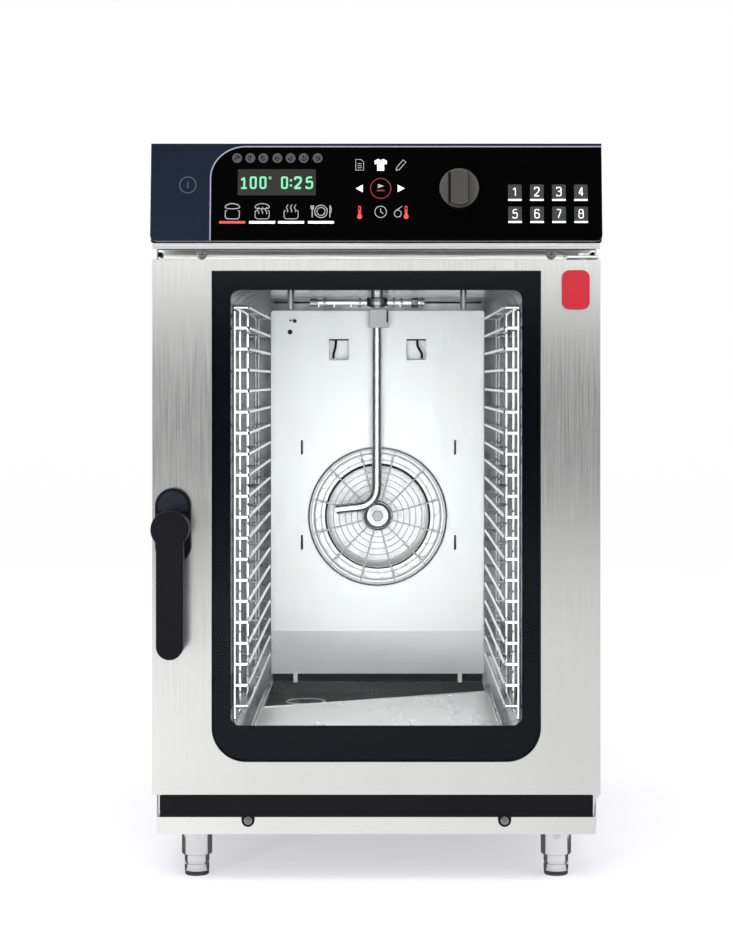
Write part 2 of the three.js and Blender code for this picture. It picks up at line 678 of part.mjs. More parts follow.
function connections() {
  const thread = rod("y", INLET.radius, [INLET.rear - 30, INLET.rear], [INLET.x, INLET.z]);
  const valve = block([INLET.x - 18, INLET.x + 18], [INLET.front, INLET.rear - 29], [INLET.z - 16, INLET.z + 16]);
  const bore = rod("y", INLET.radius - 3, [INLET.rear - 25, INLET.rear + 1], [INLET.x, INLET.z]);
  piece(cabinet, "water_valve", join([thread, valve]).subtract(bore), MATERIALS.greyPlastic);

  const barrel = rod("y", GLAND.radius, [GLAND.front, GLAND.rear], [GLAND.x, GLAND.z]);
  const nut = rod("y", GLAND.radius + 4, [CASING.rear, CASING.rear + 6], [GLAND.x, GLAND.z], 6);
  const passage = rod("y", 6, [GLAND.front - 1, GLAND.rear + 1], [GLAND.x, GLAND.z], 12);
  piece(cabinet, "cable_gland", join([barrel, nut]).subtract(passage), MATERIALS.blackPlastic);
}

// ---- Controls ----

function controlHousing() {
  const { lipBottom, floor, sheet, lipY, rear } = HOUSING;
  const half = CASING.halfWidth - SHEET - GAP;
  const top = CASING.roof - SHEET - GAP;
  const outline = [
    [lipY, lipBottom],
    [lipY + sheet, lipBottom],
    [lipY + sheet, floor],
    [rear, floor],
    [rear, top],
    [rear - 22, top],
    [rear - 22, top - sheet],
    [rear - sheet, top - sheet],
    [rear - sheet, floor + sheet],
    [lipY, floor + sheet],
  ];
  piece(cabinet, "control_housing", sidePlate(outline, mirrored(half)), MATERIALS.steel);
  [-1, 1].forEach((side) => {
    const centre = [side * HOUSING_SCREW.x, HOUSING_SCREW.z];
    const head = rod("y", HOUSING_SCREW.head, [CASING.front - 3, CASING.front - GAP], centre);
    const shank = rod("y", HOUSING_SCREW.shank, [CASING.front - 1, CASING.front + 9], centre, 12);
    const label = side > 0 ? "right" : "left";
    piece(cabinet, `housing_screw_${label}`, head.add(shank), MATERIALS.polished);
  });
}

// The fascia and what it carries, in a frame whose z runs up the sloping glass and y runs into it.
function fascia() {
  const group = new THREE.Group();
  group.position.set(0, FASCIA.bottomY, FASCIA.bottomZ);
  group.rotation.x = -fasciaTilt;
  cabinet.add(group);
  const up = (z) => (z - FASCIA.bottomZ) / Math.cos(fasciaTilt);
  const knobCentre = [KNOB.x, up(KNOB.z)];

  const outline = roundedOutline(mirrored(CASING.halfWidth), [0, fasciaLength], FASCIA.cornerRadius, 0);
  const glass = frontPlate(outline, [0, FASCIA.thickness]);
  const shaftHole = rod("y", KNOB.shaft + 1, [-1, FASCIA.thickness + 1], knobCentre);
  piece(group, "fascia_glass", glass.subtract(shaftHole), MATERIALS.blackGlass);

  const behind = FASCIA.thickness + GAP;
  const display = block([DISPLAY.left, DISPLAY.right], [behind, BOARD.front - GAP], [
    up(DISPLAY.bottom),
    up(DISPLAY.top),
  ]);
  piece(group, "display_module", display, MATERIALS.blackPlastic);

  const { left, right, low, high, front, thickness, post } = BOARD;
  const sheet = block([left, right], [front, front + thickness], [low, high]);
  const corners = [left + 8, right - 8].flatMap((x) => [low + 8, high - 8].map((z) => [x, z]));
  const posts = corners.map((centre) => rod("y", post, [behind, front + 0.5], centre, 10));
  piece(group, "control_board", join([sheet, ...posts]), MATERIALS.board);

  const encoder = block([KNOB.x - 8, KNOB.x + 8], [behind, front - GAP], [knobCentre[1] - 8, knobCentre[1] + 8]);
  const bore = rod("y", KNOB.shaft + 0.5, [behind - 1, front - 2], knobCentre);
  piece(group, "encoder_body", encoder.subtract(bore), MATERIALS.greyPlastic);

  const knob = new THREE.Group();
  knob.position.set(KNOB.x, 0, knobCentre[1]);
  group.add(knob);
  const skirt = rod("y", KNOB.radius, [-7, -0.8], [0, 0], 32);
  const drum = rod("y", KNOB.radius - 2, [-8.5, -6], [0, 0], 32);
  const grip = block(mirrored(KNOB.grip / 2), [-KNOB.depth, -6], mirrored(KNOB.radius - 2.5));
  const shaft = rod("y", KNOB.shaft, [-7.5, front - 3], [0, 0]);
  piece(knob, "selector_knob", join([skirt, drum, grip, shaft]), MATERIALS.knob);
}

// ---- Door ----

function door() {
  const group = new THREE.Group();
  cabinet.add(group);
  doorShell(group);
  doorGlazing(group);
  const badge = frontPlate(
    roundedOutline([BADGE.left, BADGE.right], [BADGE.bottom, BADGE.top], BADGE.cornerRadius),
    [-BADGE.thickness, -GAP],
  );
  piece(group, "door_badge", badge, MATERIALS.badge);
  handle(group);
}

function doorShell(group) {
  const { halfWidth, bottom, top, depth, sheet } = DOOR;
  const outside = block(mirrored(halfWidth), [0, depth], [bottom, top]);
  const inside = block(mirrored(halfWidth - sheet), [sheet, depth + 1], [bottom + sheet, top - sheet]);
  const window = frontPlate(
    roundedOutline(
      mirrored(GLASS.halfWidth + GAP),
      [GLASS.bottom - GAP, GLASS.top + GAP],
      GLASS.cornerRadius + GAP,
      0,
    ),
    [-1, sheet + 1],
    8,
  );
  const axis = [HINGE.x, HINGE.y];
  const bossHeight = 22;
  const bosses = [
    rod("z", HINGE.pinRadius + 5, [bottom + 1, bottom + bossHeight], axis),
    rod("z", HINGE.pinRadius + 5, [top - bossHeight, top - 1], axis),
  ];
  const pinHole = rod("z", HINGE.pinRadius + 0.5, [bottom - 1, top + 1], axis);
  const spindleHole = rod("y", LATCH.radius + 1, [-1, sheet + 1], [HANDLE.x, HANDLE.z]);
  const shell = join([cut(outside, [inside, window]), ...bosses]);
  piece(group, "door_shell", cut(shell, [pinHole, spindleHole]), MATERIALS.steel);
}

function doorGlazing(group) {
  const outer = frontPlate(
    roundedOutline(mirrored(GLASS.halfWidth), [GLASS.bottom, GLASS.top], GLASS.cornerRadius, 0),
    [GLASS.front, GLASS.front + GLASS.thickness],
    8,
  );
  piece(group, "outer_glass", outer, MATERIALS.doorGlass);

  const frameOutline = roundedOutline(mirrored(INNER.halfWidth), [INNER.bottom, INNER.top], 0);
  frameOutline.holes.push(roundedOutline(mirrored(INNER.windowX), [INNER.windowLow, INNER.windowTop], 12));
  const frame = frontPlate(frameOutline, [INNER.front, DOOR.depth]);
  const spindleHole = rod("y", LATCH.radius + 1, [INNER.front - 1, DOOR.depth + 1], [HANDLE.x, HANDLE.z]);
  piece(group, "door_inner_frame", frame.subtract(spindleHole), MATERIALS.steel);

  const inner = frontPlate(
    roundedOutline(mirrored(PANE.halfWidth), [PANE.bottom, PANE.top], 6),
    [PANE.front, PANE.front + PANE.thickness],
  );
  piece(group, "inner_glass", inner, MATERIALS.clearGlass);

  const { halfWidth, bottom, top, width, rear, cornerRadius } = GASKET;
  const ring = roundedOutline(mirrored(halfWidth), [bottom, top], cornerRadius);
  ring.holes.push(
    roundedOutline(mirrored(halfWidth - width), [bottom + width, top - width], cornerRadius - width),
  );
  piece(group, "door_gasket", frontPlate(ring, [DOOR.depth + GAP, rear]), MATERIALS.rubber);
}

function handle(group) {
  const pivot = new THREE.Group();
  pivot.position.set(HANDLE.x, 0, HANDLE.z);
  group.add(pivot);
  const back = -PLATE.thickness - GAP;

  const plateOutline = roundedOutline(
    mirrored(PLATE.width / 2),
    [PLATE.rise - PLATE.height / 2, PLATE.rise + PLATE.height / 2],
    PLATE.width / 2 - 0.1,
  );
  const plateHole = rod("y", LATCH.radius + 1, [-PLATE.thickness - 1, 1], [0, 0]);
  const plate = frontPlate(plateOutline, [-PLATE.thickness, -GAP], 8);
  piece(pivot, "handle_plate", plate.subtract(plateHole), MATERIALS.blackPlastic);

  const head = rod("y", HANDLE.headRadius, [HANDLE.front + 4, back], [0, 0], 32);
  const gripOutline = roundedOutline(
    mirrored(HANDLE.gripWidth / 2),
    [HANDLE.gripBottom - HANDLE.z, HANDLE.gripWidth / 2],
    HANDLE.gripWidth / 2 - 0.1,
  );
  const grip = frontPlate(gripOutline, [HANDLE.front, HANDLE.front + HANDLE.gripDepth], 8);
  const square = rod("y", LATCH.radius + GAP, [back - 20, 0], [0, 0]);
  piece(pivot, "handle_lever", join([head, grip]).subtract(square), MATERIALS.blackPlastic);

  const spindle = rod("y", LATCH.radius, [back - 19, LATCH.rear], [0, 0]);
  const cam = block([0, LATCH.reach], [LATCH.front, LATCH.rear], mirrored(LATCH.width / 2));
  const boss = rod("y", LATCH.radius + 4, [LATCH.front, LATCH.rear], [0, 0]);
  piece(pivot, "latch_cam", join([spindle, cam, boss]), MATERIALS.polished);
}

function latchStrike() {
  const foot = block([-252, -226], [CASING.front - 3, CASING.front - GAP], [442, 474]);
  const tongue = block([-252, -226], [CASING.front - 9, CASING.front - 2], [442, 448]);
  piece(cabinet, "latch_strike", foot.add(tongue), MATERIALS.polished);
}

// ---- Hinges ----

function hinges() {
  const { x, y, pinRadius, left, right, plate, reach } = HINGE;
  const back = CASING.front - GAP;
  const topZ = DOOR.top + 1.3;
  const bottomZ = DOOR.bottom - 1.6 - plate;
  const pinHole = (z) => rod("z", pinRadius + GAP, [z - 1, z + plate + 1], [x, y]);

  const topPlate = block([left, right], [reach, back], [topZ, topZ + plate]);
  const topFlange = block([left, right], [back - 3, back], [topZ, FRAME.top - 1]);
  piece(cabinet, "hinge_bracket_top", topPlate.add(topFlange).subtract(pinHole(topZ)), MATERIALS.steel);
  const topPin = rod("z", pinRadius, [DOOR.top - 20, topZ + plate + 1], [x, y]);
  const topHead = rod("z", pinRadius + 3, [topZ + plate + GAP, topZ + plate + 3], [x, y]);
  piece(cabinet, "hinge_pin_top", topPin.add(topHead), MATERIALS.polished);

  const bottomPlate = block([left, right], [reach, back], [bottomZ, bottomZ + plate]);
  const bottomFlange = block([left, right], [back - 2, back], [TROUGH.bottom + 4, bottomZ + plate]);
  piece(cabinet, "hinge_bracket_bottom", bottomPlate.add(bottomFlange).subtract(pinHole(bottomZ)), MATERIALS.steel);
  const bottomPin = rod("z", pinRadius, [bottomZ - 1, DOOR.bottom + 20], [x, y]);
  const bottomHead = rod("z", pinRadius + 3, [bottomZ - 3, bottomZ - GAP], [x, y]);
  piece(cabinet, "hinge_pin_bottom", bottomPin.add(bottomHead), MATERIALS.polished);
}

// ---- Drip trough ----

function dripTrough() {
  const { halfWidth, front, rear, top, bottom, wall, step, rearTop } = TROUGH;
  const inner = front + wall;
  const channel = sidePlate(
    [
      [front, step],
      [inner, step],
      [inner, bottom],
      [rear, bottom],
      [rear, rearTop],
      [rear - wall, rearTop],
      [rear - wall, bottom + wall],
      [inner + wall, bottom + wall],
      [inner + wall, step + wall],
      [inner, step + wall],
      [inner, top],
      [front, top],
    ],
    mirrored(halfWidth),
  );
  const caps = [
    [-halfWidth, wall - halfWidth],
    [HINGE.left - 9, HINGE.left - 9 + wall],
  ].map((x) => block(x, [inner, rear], [bottom, rearTop]));
  const hingeRoom = block([HINGE.left - 5, halfWidth + 1], [HINGE.reach - 3, rear + 1], [bottom + wall, rearTop + 1]);
  const bosses = [-1, 1].map((side) => {
    const centre = [side * TROUGH_SCREW.x, TROUGH_SCREW.z];
    const x = [centre[0] - TROUGH_SCREW.boss, centre[0] + TROUGH_SCREW.boss];
    const y = [BASE.front - 2.5, BASE.front - GAP];
    return rod("y", TROUGH_SCREW.boss, y, centre).add(block(x, y, [TROUGH_SCREW.z, bottom + 2]));
  });
  const screwHoles = [-1, 1].map((side) =>
    rod("y", TROUGH_SCREW.shank + GAP, [0, BASE.front], [side * TROUGH_SCREW.x, TROUGH_SCREW.z], 12),
  );
  const body = join([channel, ...caps, ...bosses]);
  piece(cabinet, "drip_trough", cut(body, [hingeRoom, ...screwHoles]), MATERIALS.blackPlastic);

  [-1, 1].forEach((side) => {
    const centre = [side * TROUGH_SCREW.x, TROUGH_SCREW.z];
    const head = rod("y", TROUGH_SCREW.head, [BASE.front - 5, BASE.front - 2.5 - GAP], centre);
    const shank = rod("y", TROUGH_SCREW.shank, [BASE.front - 3, BASE.front + 8], centre, 12);
    const label = side > 0 ? "right" : "left";
    piece(cabinet, `trough_screw_${label}`, head.add(shank), MATERIALS.polished);
  });
}

// ---- Feet ----

function foot(label, x, y) {
  const group = new THREE.Group();
  group.position.set(x, y, 0);
  cabinet.add(group);
  const top = CASING.bottom - GAP;
  const sleeve = rod("z", FOOT.sleeve, [FOOT.sleeveBottom, top], [0, 0]);
  const bore = rod("z", FOOT.bore, [FOOT.sleeveBottom - 1, top - 3], [0, 0]);
  piece(group, `foot_sleeve_${label}`, sleeve.subtract(bore), MATERIALS.polished);
  const stem = rod("z", FOOT.stem, [0, top - 3 - GAP], [0, 0]);
  piece(group, `foot_stem_${label}`, stem, MATERIALS.polished);
}

function feet() {
  const places = [
    ["front_left", -FOOT.x, FOOT.frontY],
    ["front_right", FOOT.x, FOOT.frontY],
    ["rear_left", -FOOT.x, FOOT.rearY],
    ["rear_right", FOOT.x, FOOT.rearY],
  ];
  places.forEach(([label, x, y]) => foot(label, x, y));
}

// ---- Assembly ----

baseFrame();
sidePanel("left_side_panel", -1);
sidePanel("right_side_panel", 1);
topPanel();
rearPanel();
motorCover();
frontFrame();
cavityLiner();
insulationJacket();
fanBaffle();
fanGuard();
heatingElement();
steamTube();
tubeHolder();
temperatureProbe();
ventPipe();
drain();
washSystem();
fan();
rack("rack_left", -1);
rack("rack_right", 1);
connections();
controlHousing();
fascia();
door();
latchStrike();
hinges();
dripTrough();
feet();

export default oven;
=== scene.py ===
"""Looks of the combi steamer oven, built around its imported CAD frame.

Lengths are millimetres until a piece is placed. In a piece's own coordinates x runs to the right,
y runs back from the door's front face, and z runs up from the floor.
"""
import math

import bmesh
import bpy
from mathutils import Matrix, Vector


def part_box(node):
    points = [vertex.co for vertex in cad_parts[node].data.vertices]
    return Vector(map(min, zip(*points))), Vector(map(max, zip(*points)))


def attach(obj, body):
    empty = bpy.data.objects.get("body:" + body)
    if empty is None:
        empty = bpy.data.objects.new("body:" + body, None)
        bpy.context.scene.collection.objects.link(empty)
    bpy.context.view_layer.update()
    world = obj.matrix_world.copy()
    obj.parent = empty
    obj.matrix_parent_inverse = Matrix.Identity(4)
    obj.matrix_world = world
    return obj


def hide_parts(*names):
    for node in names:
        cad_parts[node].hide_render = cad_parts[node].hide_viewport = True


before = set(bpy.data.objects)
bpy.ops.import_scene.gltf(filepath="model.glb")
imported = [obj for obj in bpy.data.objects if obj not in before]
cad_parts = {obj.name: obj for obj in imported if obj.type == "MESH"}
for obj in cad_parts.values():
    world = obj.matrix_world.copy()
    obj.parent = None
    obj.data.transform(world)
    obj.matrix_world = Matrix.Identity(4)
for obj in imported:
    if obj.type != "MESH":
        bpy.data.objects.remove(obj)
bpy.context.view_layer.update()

MM = 0.001
SCENE = bpy.context.scene


# ---- The frame's measures ----

def corners(node):
    """A CAD node's lowest and highest corner in millimetres, in the row frame."""
    low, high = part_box(node)
    return Vector(low) / MM, Vector(high) / MM


DOOR_FRONT = corners("door_shell")[0].y
WORLD = Matrix.Scale(MM, 4) @ Matrix.Translation((0, DOOR_FRONT, 0))


def span(node):
    """A CAD node's lowest and highest corner in a piece's own coordinates."""
    low, high = corners(node)
    shift = Vector((0, DOOR_FRONT, 0))
    return low - shift, high - shift


def centred(low, high, axis):
    """The middle of a box, with 0 along the axis of what is turned in it."""
    return tuple(0 if name == axis else (a + b) / 2 for name, a, b in zip("xyz", low, high))


# ---- Outlines in x and z ----

def rounded(x_span, z_span, lower, upper=None, steps=8):
    """A rectangle, anticlockwise, with a radius at its lower and one at its upper corners."""
    (x0, x1), (z0, z1) = x_span, z_span
    upper = lower if upper is None else upper
    places = [(x1 - lower, z0 + lower, lower, -90), (x1 - upper, z1 - upper, upper, 0)]
    places += [(x0 + upper, z1 - upper, upper, 90), (x0 + lower, z0 + lower, lower, 180)]
    points = []
    for x, z, radius, start in places:
        if radius <= 0:
            points.append((x, z))
            continue
        points += arc((x, z), radius, start, start + 90, steps)
    return points


def arc(centre, radius, start, end, steps=8, squash=1.0):
    """Points on an arc, in degrees; squash is the share of its height that an ellipse keeps."""
    turns = [math.radians(start + (end - start) * k / steps) for k in range(steps + 1)]
    return [(centre[0] + radius * math.cos(a), centre[1] + radius * squash * math.sin(a)) for a in turns]


def circle(centre, radius, steps=32):
    return arc(centre, radius, 0, 360 - 360 / steps, steps - 1)


def even_turns(count, shift=0):
    """Angles spread evenly round a full turn, in radians."""
    return [2 * math.pi * (k + shift) / count for k in range(count)]


def both(half):
    return (-half, half)


def around(middle, half):
    return (middle - half, middle + half)


# ---- Meshes ----

def in_scene(name, data):
    obj = bpy.data.objects.new(name, data)
    SCENE.collection.objects.link(obj)
    return obj


def mesh_of(curve):
    """The mesh that a curve shows."""
    holder = in_scene("holder", curve)
    bpy.context.view_layer.update()
    mesh = bpy.data.meshes.new_from_object(holder.evaluated_get(bpy.context.evaluated_depsgraph_get()))
    bpy.data.objects.remove(holder)
    bpy.data.curves.remove(curve)
    return tidy(mesh)


def tidy(mesh, merge=1e-3):
    """Merges a mesh's doubled points and turns its faces outwards."""
    bm = bmesh.new()
    bm.from_mesh(mesh)
    bmesh.ops.remove_doubles(bm, verts=bm.verts, dist=merge)
    bmesh.ops.dissolve_degenerate(bm, edges=bm.edges, dist=merge)
    bmesh.ops.recalc_face_normals(bm, faces=bm.faces)
    bm.to_mesh(mesh)
    bm.free()
    return mesh


def new_mesh(bm):
    mesh = bpy.data.meshes.new("mesh")
    bmesh.ops.recalc_face_normals(bm, faces=bm.faces)
    bm.to_mesh(mesh)
    bm.free()
    return mesh


def moved(mesh, offset=(0, 0, 0), turn=None):
    mesh.transform(Matrix.Translation(offset) @ (turn or Matrix.Identity(4)))
    return mesh


def joined(*meshes):
    """Several meshes as one."""
    bm = bmesh.new()
    for mesh in meshes:
        bm.from_mesh(mesh)
    whole = bpy.data.meshes.new("mesh")
    bm.to_mesh(whole)
    bm.free()
    for mesh in meshes:
        bpy.data.meshes.remove(mesh)
    return whole


UPRIGHT = Matrix.Rotation(math.pi / 2, 4, "X")
SIDEWAYS = Matrix(((0, 0, 1, 0), (1, 0, 0, 0), (0, 1, 0, 0), (0, 0, 0, 1)))


def add_spline(curve, points, closed):
    spline = curve.splines.new("POLY")
    spline.points.add(len(points) - 1)
    for point, place in zip(spline.points, points):
        point.co = (*place, 1)
    spline.use_cyclic_u = closed


def plate(outlines, start, depth, bevel=0.5, steps=2, facing="front"):
    """A flat piece of some depth. The first outline is its edge and the others are holes in it.

    Facing the front its outlines are (x, z), facing up (x, y) and facing sideways (y, z). It reaches
    from start along the third axis.
    """
    curve = bpy.data.curves.new("plate", "CURVE")
    curve.dimensions = "2D"
    curve.fill_mode = "BOTH"
    curve.extrude = depth / 2 - bevel
    curve.bevel_depth = bevel
    curve.bevel_resolution = steps
    curve.offset = -bevel
    for index, outline in enumerate(outlines):
        points = outline if index == 0 else outline[::-1]
        add_spline(curve, [(across, along, 0) for across, along in points], True)
    middle = start + depth / 2
    mesh = mesh_of(curve)
    if facing == "front":
        return moved(mesh, (0, middle, 0), UPRIGHT)
    if facing == "up":
        return moved(mesh, (0, 0, middle))
    return moved(mesh, (middle, 0, 0), SIDEWAYS)


def outline_of(low, high, lower, upper=None, steps=8, inset=0):
    """The front outline of a box, with rounded corners."""
    x_span, z_span = (low.x + inset, high.x - inset), (low.z + inset, high.z - inset)
    return rounded(x_span, z_span, lower, upper, steps)


def filling(low, high, outlines, bevel, steps):
    """A plate that is as deep as a box."""
    return plate(outlines, low.y, high.y - low.y, bevel, steps)


def wires(paths, radius, closed=False, sides=2):
    """Round bars along paths of points."""
    curve = bpy.data.curves.new("wires", "CURVE")
    curve.dimensions = "3D"
    curve.bevel_depth = radius
    curve.bevel_resolution = sides
    curve.use_fill_caps = not closed
    for path in paths:
        add_spline(curve, path, closed)
    return mesh_of(curve)


def bent(points, radius, steps=5, closed=False):
    """A path through points, with its corners rounded."""
    points = [Vector(p) for p in points]
    count = len(points)
    path = []
    for index, point in enumerate(points):
        if not closed and index in (0, count - 1):
            path.append(point)
            continue
        before = points[index - 1] - point
        after = points[(index + 1) % count] - point
        reach = min(radius, before.length * 0.49, after.length * 0.49)
        start = point + before.normalized() * reach
        end = point + after.normalized() * reach
        for k in range(steps + 1):
            share = k / steps
            first = start.lerp(point, share)
            path.append(first.lerp(point.lerp(end, share), share))
    return [tuple(p) for p in path]


def lathe(profile, axis="z", at=(0, 0, 0), steps=48):
    """A turned piece from (radius, height) points. Along y its heights run backwards into the object."""
    bm = bmesh.new()
    rings = []
    for radius, height in profile:
        if radius < 1e-6:
            rings.append([bm.verts.new((0, 0, height))])
            continue
        circle_points = [(radius * math.cos(a), radius * math.sin(a), height) for a in even_turns(steps)]
        rings.append([bm.verts.new(point) for point in circle_points])
    for low, high in zip(rings, rings[1:]):
        for k in range(steps):
            n = (k + 1) % steps
            loop = [low[k % len(low)], low[n % len(low)], high[n % len(high)], high[k % len(high)]]
            loop = list(dict.fromkeys(loop))
            if len(loop) > 2:
                bm.faces.new(loop)
    bmesh.ops.remove_doubles(bm, verts=bm.verts, dist=1e-4)
    turn = {
        "x": Matrix.Rotation(math.pi / 2, 4, "Y"),
        "y": Matrix.Rotation(-math.pi / 2, 4, "X"),
        "z": Matrix.Identity(4),
    }[axis]
    return moved(new_mesh(bm), at, turn)


def bevelled(bm, edges, width, steps):
    bmesh.ops.bevel(
        bm, geom=edges, offset=width, segments=steps, profile=0.5, affect="EDGES", clamp_overlap=True
    )


def slab(x_span, y_span, z_span, bevel=0.5, steps=2):
    """A block with rounded edges."""
    bm = bmesh.new()
    bmesh.ops.create_cube(bm, size=1)
    for vert in bm.verts:
        for axis, (low, high) in enumerate((x_span, y_span, z_span)):
            vert.co[axis] = high if vert.co[axis] > 0 else low
    bevelled(bm, list(bm.edges), bevel, steps)
    return new_mesh(bm)


def softened(node, bevel=0.5, steps=2, edge_angle=32):
    """A copy of a CAD node's shape with its sharp edges rounded."""
    bm = bmesh.new()
    bm.from_mesh(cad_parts[node].data)
    bmesh.ops.transform(bm, matrix=WORLD.inverted(), verts=bm.verts)
    bmesh.ops.remove_doubles(bm, verts=bm.verts, dist=2e-3)
    bmesh.ops.dissolve_limit(bm, angle_limit=math.radians(1), verts=bm.verts, edges=bm.edges)
    if bevel:
        limit = math.radians(edge_angle)
        sharp = [e for e in bm.edges if len(e.link_faces) == 2 and e.calc_face_angle(0) > limit]
        bevelled(bm, sharp, bevel, steps)
    mesh = new_mesh(bm)
    mesh.materials.clear()
    return mesh


# The share of its roundness that a printed line keeps towards the front.
PRINT_RELIEF = 0.2


def strokes(paths, width, closed=False):
    """Flat printed lines along (x, z) paths."""
    mesh = wires([[(x, 0, z) for x, z in path] for path in paths], width / 2, closed, sides=1)
    for vert in mesh.vertices:
        vert.co.y *= PRINT_RELIEF
    return mesh


# ---- Pieces ----

def piece(name, mesh, material, body, slot, *replaced, place=None, sharp=38):
    """Puts a mesh in the scene as a piece that rides on a body and stands for CAD nodes."""
    if place:
        mesh.transform(place)
    mesh.transform(WORLD)
    mesh.name = name
    mesh.materials.append(material)
    mesh.shade_smooth()
    mesh.set_sharp_from_angle(angle=math.radians(sharp))
    obj = in_scene(name, mesh)
    weighted = obj.modifiers.new("even_shading", "WEIGHTED_NORMAL")
    weighted.keep_sharp = True
    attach(obj, body)
    if replaced:
        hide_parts(*replaced)
    return obj


def fixed(name, mesh, material, slot, *replaced, **more):
    """A piece of the cabinet, which stays put."""
    return piece(name, mesh, material, "cabinet", slot, *replaced, **more)


# ---- Materials ----

PRINCIPLED = "Principled BSDF"
# A noise texture's values lie mostly between these two.
NOISE_LOW, NOISE_HIGH = 0.3, 0.7


def set_inputs(node, **values):
    """Sets a shader node's inputs. Underscores in their names stand for spaces."""
    for key, value in values.items():
        node.inputs[key.replace("_", " ")].default_value = value
    return node


def add_node(tree, kind, **values):
    return set_inputs(tree.nodes.new("ShaderNode" + kind), **values)


def shader(name, color, roughness, metallic=0.0, **sockets):
    """A Principled material. Names in sockets are input names with underscores for spaces."""
    material = bpy.data.materials.new(name)
    material.use_nodes = True
    bsdf = material.node_tree.nodes[PRINCIPLED]
    set_inputs(bsdf, Base_Color=(*color, 1), Roughness=roughness, Metallic=metallic, **sockets)
    return material


def connect(tree, *links):
    """Joins nodes; each link is (node, output, node, input)."""
    for source, output, target, socket in links:
        tree.links.new(source.outputs[output], target.inputs[socket])


def bare_material(name):
    """A material with only an output node, its tree and that node."""
    material = bpy.data.materials.new(name)
    material.use_nodes = True
    tree = material.node_tree
    tree.nodes.clear()
    return material, tree, add_node(tree, "OutputMaterial")


def noise(material, scale, stretch=(1, 1, 1), detail=3.0):
    """A noise texture in the object's own coordinates."""
    tree = material.node_tree
    place = add_node(tree, "TexCoord")
    mapping = add_node(tree, "Mapping", Scale=stretch)
    texture = add_node(tree, "TexNoise", Scale=scale, Detail=detail)
    connect(tree, (place, "Object", mapping, "Vector"), (mapping, "Vector", texture, "Vector"))
    return texture.outputs["Fac"]


def feed(material, source, node, entry, way_out, socket):
    """Leads a noise through a node into one of the shader's sockets."""
    tree = material.node_tree
    tree.links.new(source, node.inputs[entry])
    tree.links.new(node.outputs[way_out], tree.nodes[PRINCIPLED].inputs[socket])


def spread(material, source, socket, low, high):
    """Sets a number of the shader by a noise, between two values."""
    limits = {"From_Min": NOISE_LOW, "From_Max": NOISE_HIGH, "To_Min": low, "To_Max": high}
    feed(material, source, add_node(material.node_tree, "MapRange", **limits), "Value", "Result", socket)


def tinted(material, source, first, second):
    """Sets the shader's colour by a noise, between two colours."""
    ramp = add_node(material.node_tree, "ValToRGB")
    for element, place, color in zip(ramp.color_ramp.elements, (NOISE_LOW, NOISE_HIGH), (first, second)):
        element.position = place
        element.color = (*color, 1)
    feed(material, source, ramp, "Fac", "Color", "Base Color")


def bumped(material, source, strength, distance):
    bump = add_node(material.node_tree, "Bump", Strength=strength, Distance=distance)
    feed(material, source, bump, "Height", "Normal", "Normal")


def scaled(color, share):
    return tuple(min(1, c * share) for c in color)


def brushed(name, shade, roughness, grain, strength=0.12, metal=1.0):
    """Sheet steel with a drawn grain; grain is how fine it is along x, y and z, per metre."""
    material = shader(name, (shade, shade, shade * 0.985), roughness, metal)
    lines = noise(material, 1.0, grain)
    spread(material, lines, "Roughness", roughness - 0.05, roughness + 0.06)
    bumped(material, lines, strength, 0.00004)
    clouds = noise(material, 3.0)
    darker, lighter = shade * 0.95, shade * 1.04
    tinted(material, clouds, (darker, darker, darker * 0.985), (lighter, lighter, lighter * 0.99))
    return material


def reflection_streaked(name, dark, light, roughness):
    """Sheet steel painted dark, with upright streaks of painted reflection between dark and light that differ
    along its depth.
    """
    material = shader(name, (dark, dark, dark), roughness, 1.0)
    reflection_streaks = noise(material, 1.0, (14, 34, 0.8), 4.0)
    tinted(material, reflection_streaks, (dark,) * 3, (light,) * 3)
    spread(material, noise(material, 30.0), "Roughness", roughness - 0.05, roughness + 0.08)
    return material


def polished(name, shade, roughness, tint=1.0):
    """Bright metal with faint handling marks."""
    material = shader(name, (shade, shade, shade * tint), roughness, 1.0)
    marks = noise(material, 60.0)
    spread(material, marks, "Roughness", roughness * 0.7, roughness * 1.5)
    wear = noise(material, 9.0)
    tinted(material, wear, (shade * 0.93,) * 3, (shade * 1.04,) * 3)
    return material


def moulded(name, color, roughness, texture=900.0, strength=0.25, **sockets):
    """Plastic or rubber with a fine moulded texture."""
    material = shader(name, color, roughness, 0.0, **sockets)
    grit = noise(material, texture)
    spread(material, grit, "Roughness", roughness - 0.06, roughness + 0.08)
    bumped(material, grit, strength, 0.00003)
    cloud = noise(material, 14.0)
    tinted(material, cloud, scaled(color, 0.88), scaled(color, 1.12))
    return material


def printed(name, color, roughness=0.35, glow=0.0):
    """Ink or a lit mark on the fascia."""
    material = shader(name, color, roughness, 0.0)
    patches = noise(material, 700.0)
    tinted(material, patches, scaled(color, 0.94), scaled(color, 1.05))
    if glow:
        bsdf = material.node_tree.nodes[PRINCIPLED]
        set_inputs(bsdf, Emission_Color=(*color, 1), Emission_Strength=glow)
    return material


def glossy_panel(name, color, roughness=0.06, gloss=0.5, coat=0.6):
    """Enamel or printed glass."""
    sockets = {"Coat_Weight": coat, "Coat_Roughness": 0.03, "Specular_IOR_Level": gloss}
    material = shader(name, color, roughness, 0.0, **sockets)
    ripple = noise(material, 5.0)
    spread(material, ripple, "Roughness", roughness * 0.8, roughness * 1.6)
    tinted(material, ripple, scaled(color, 0.85), scaled(color, 1.15))
    return material


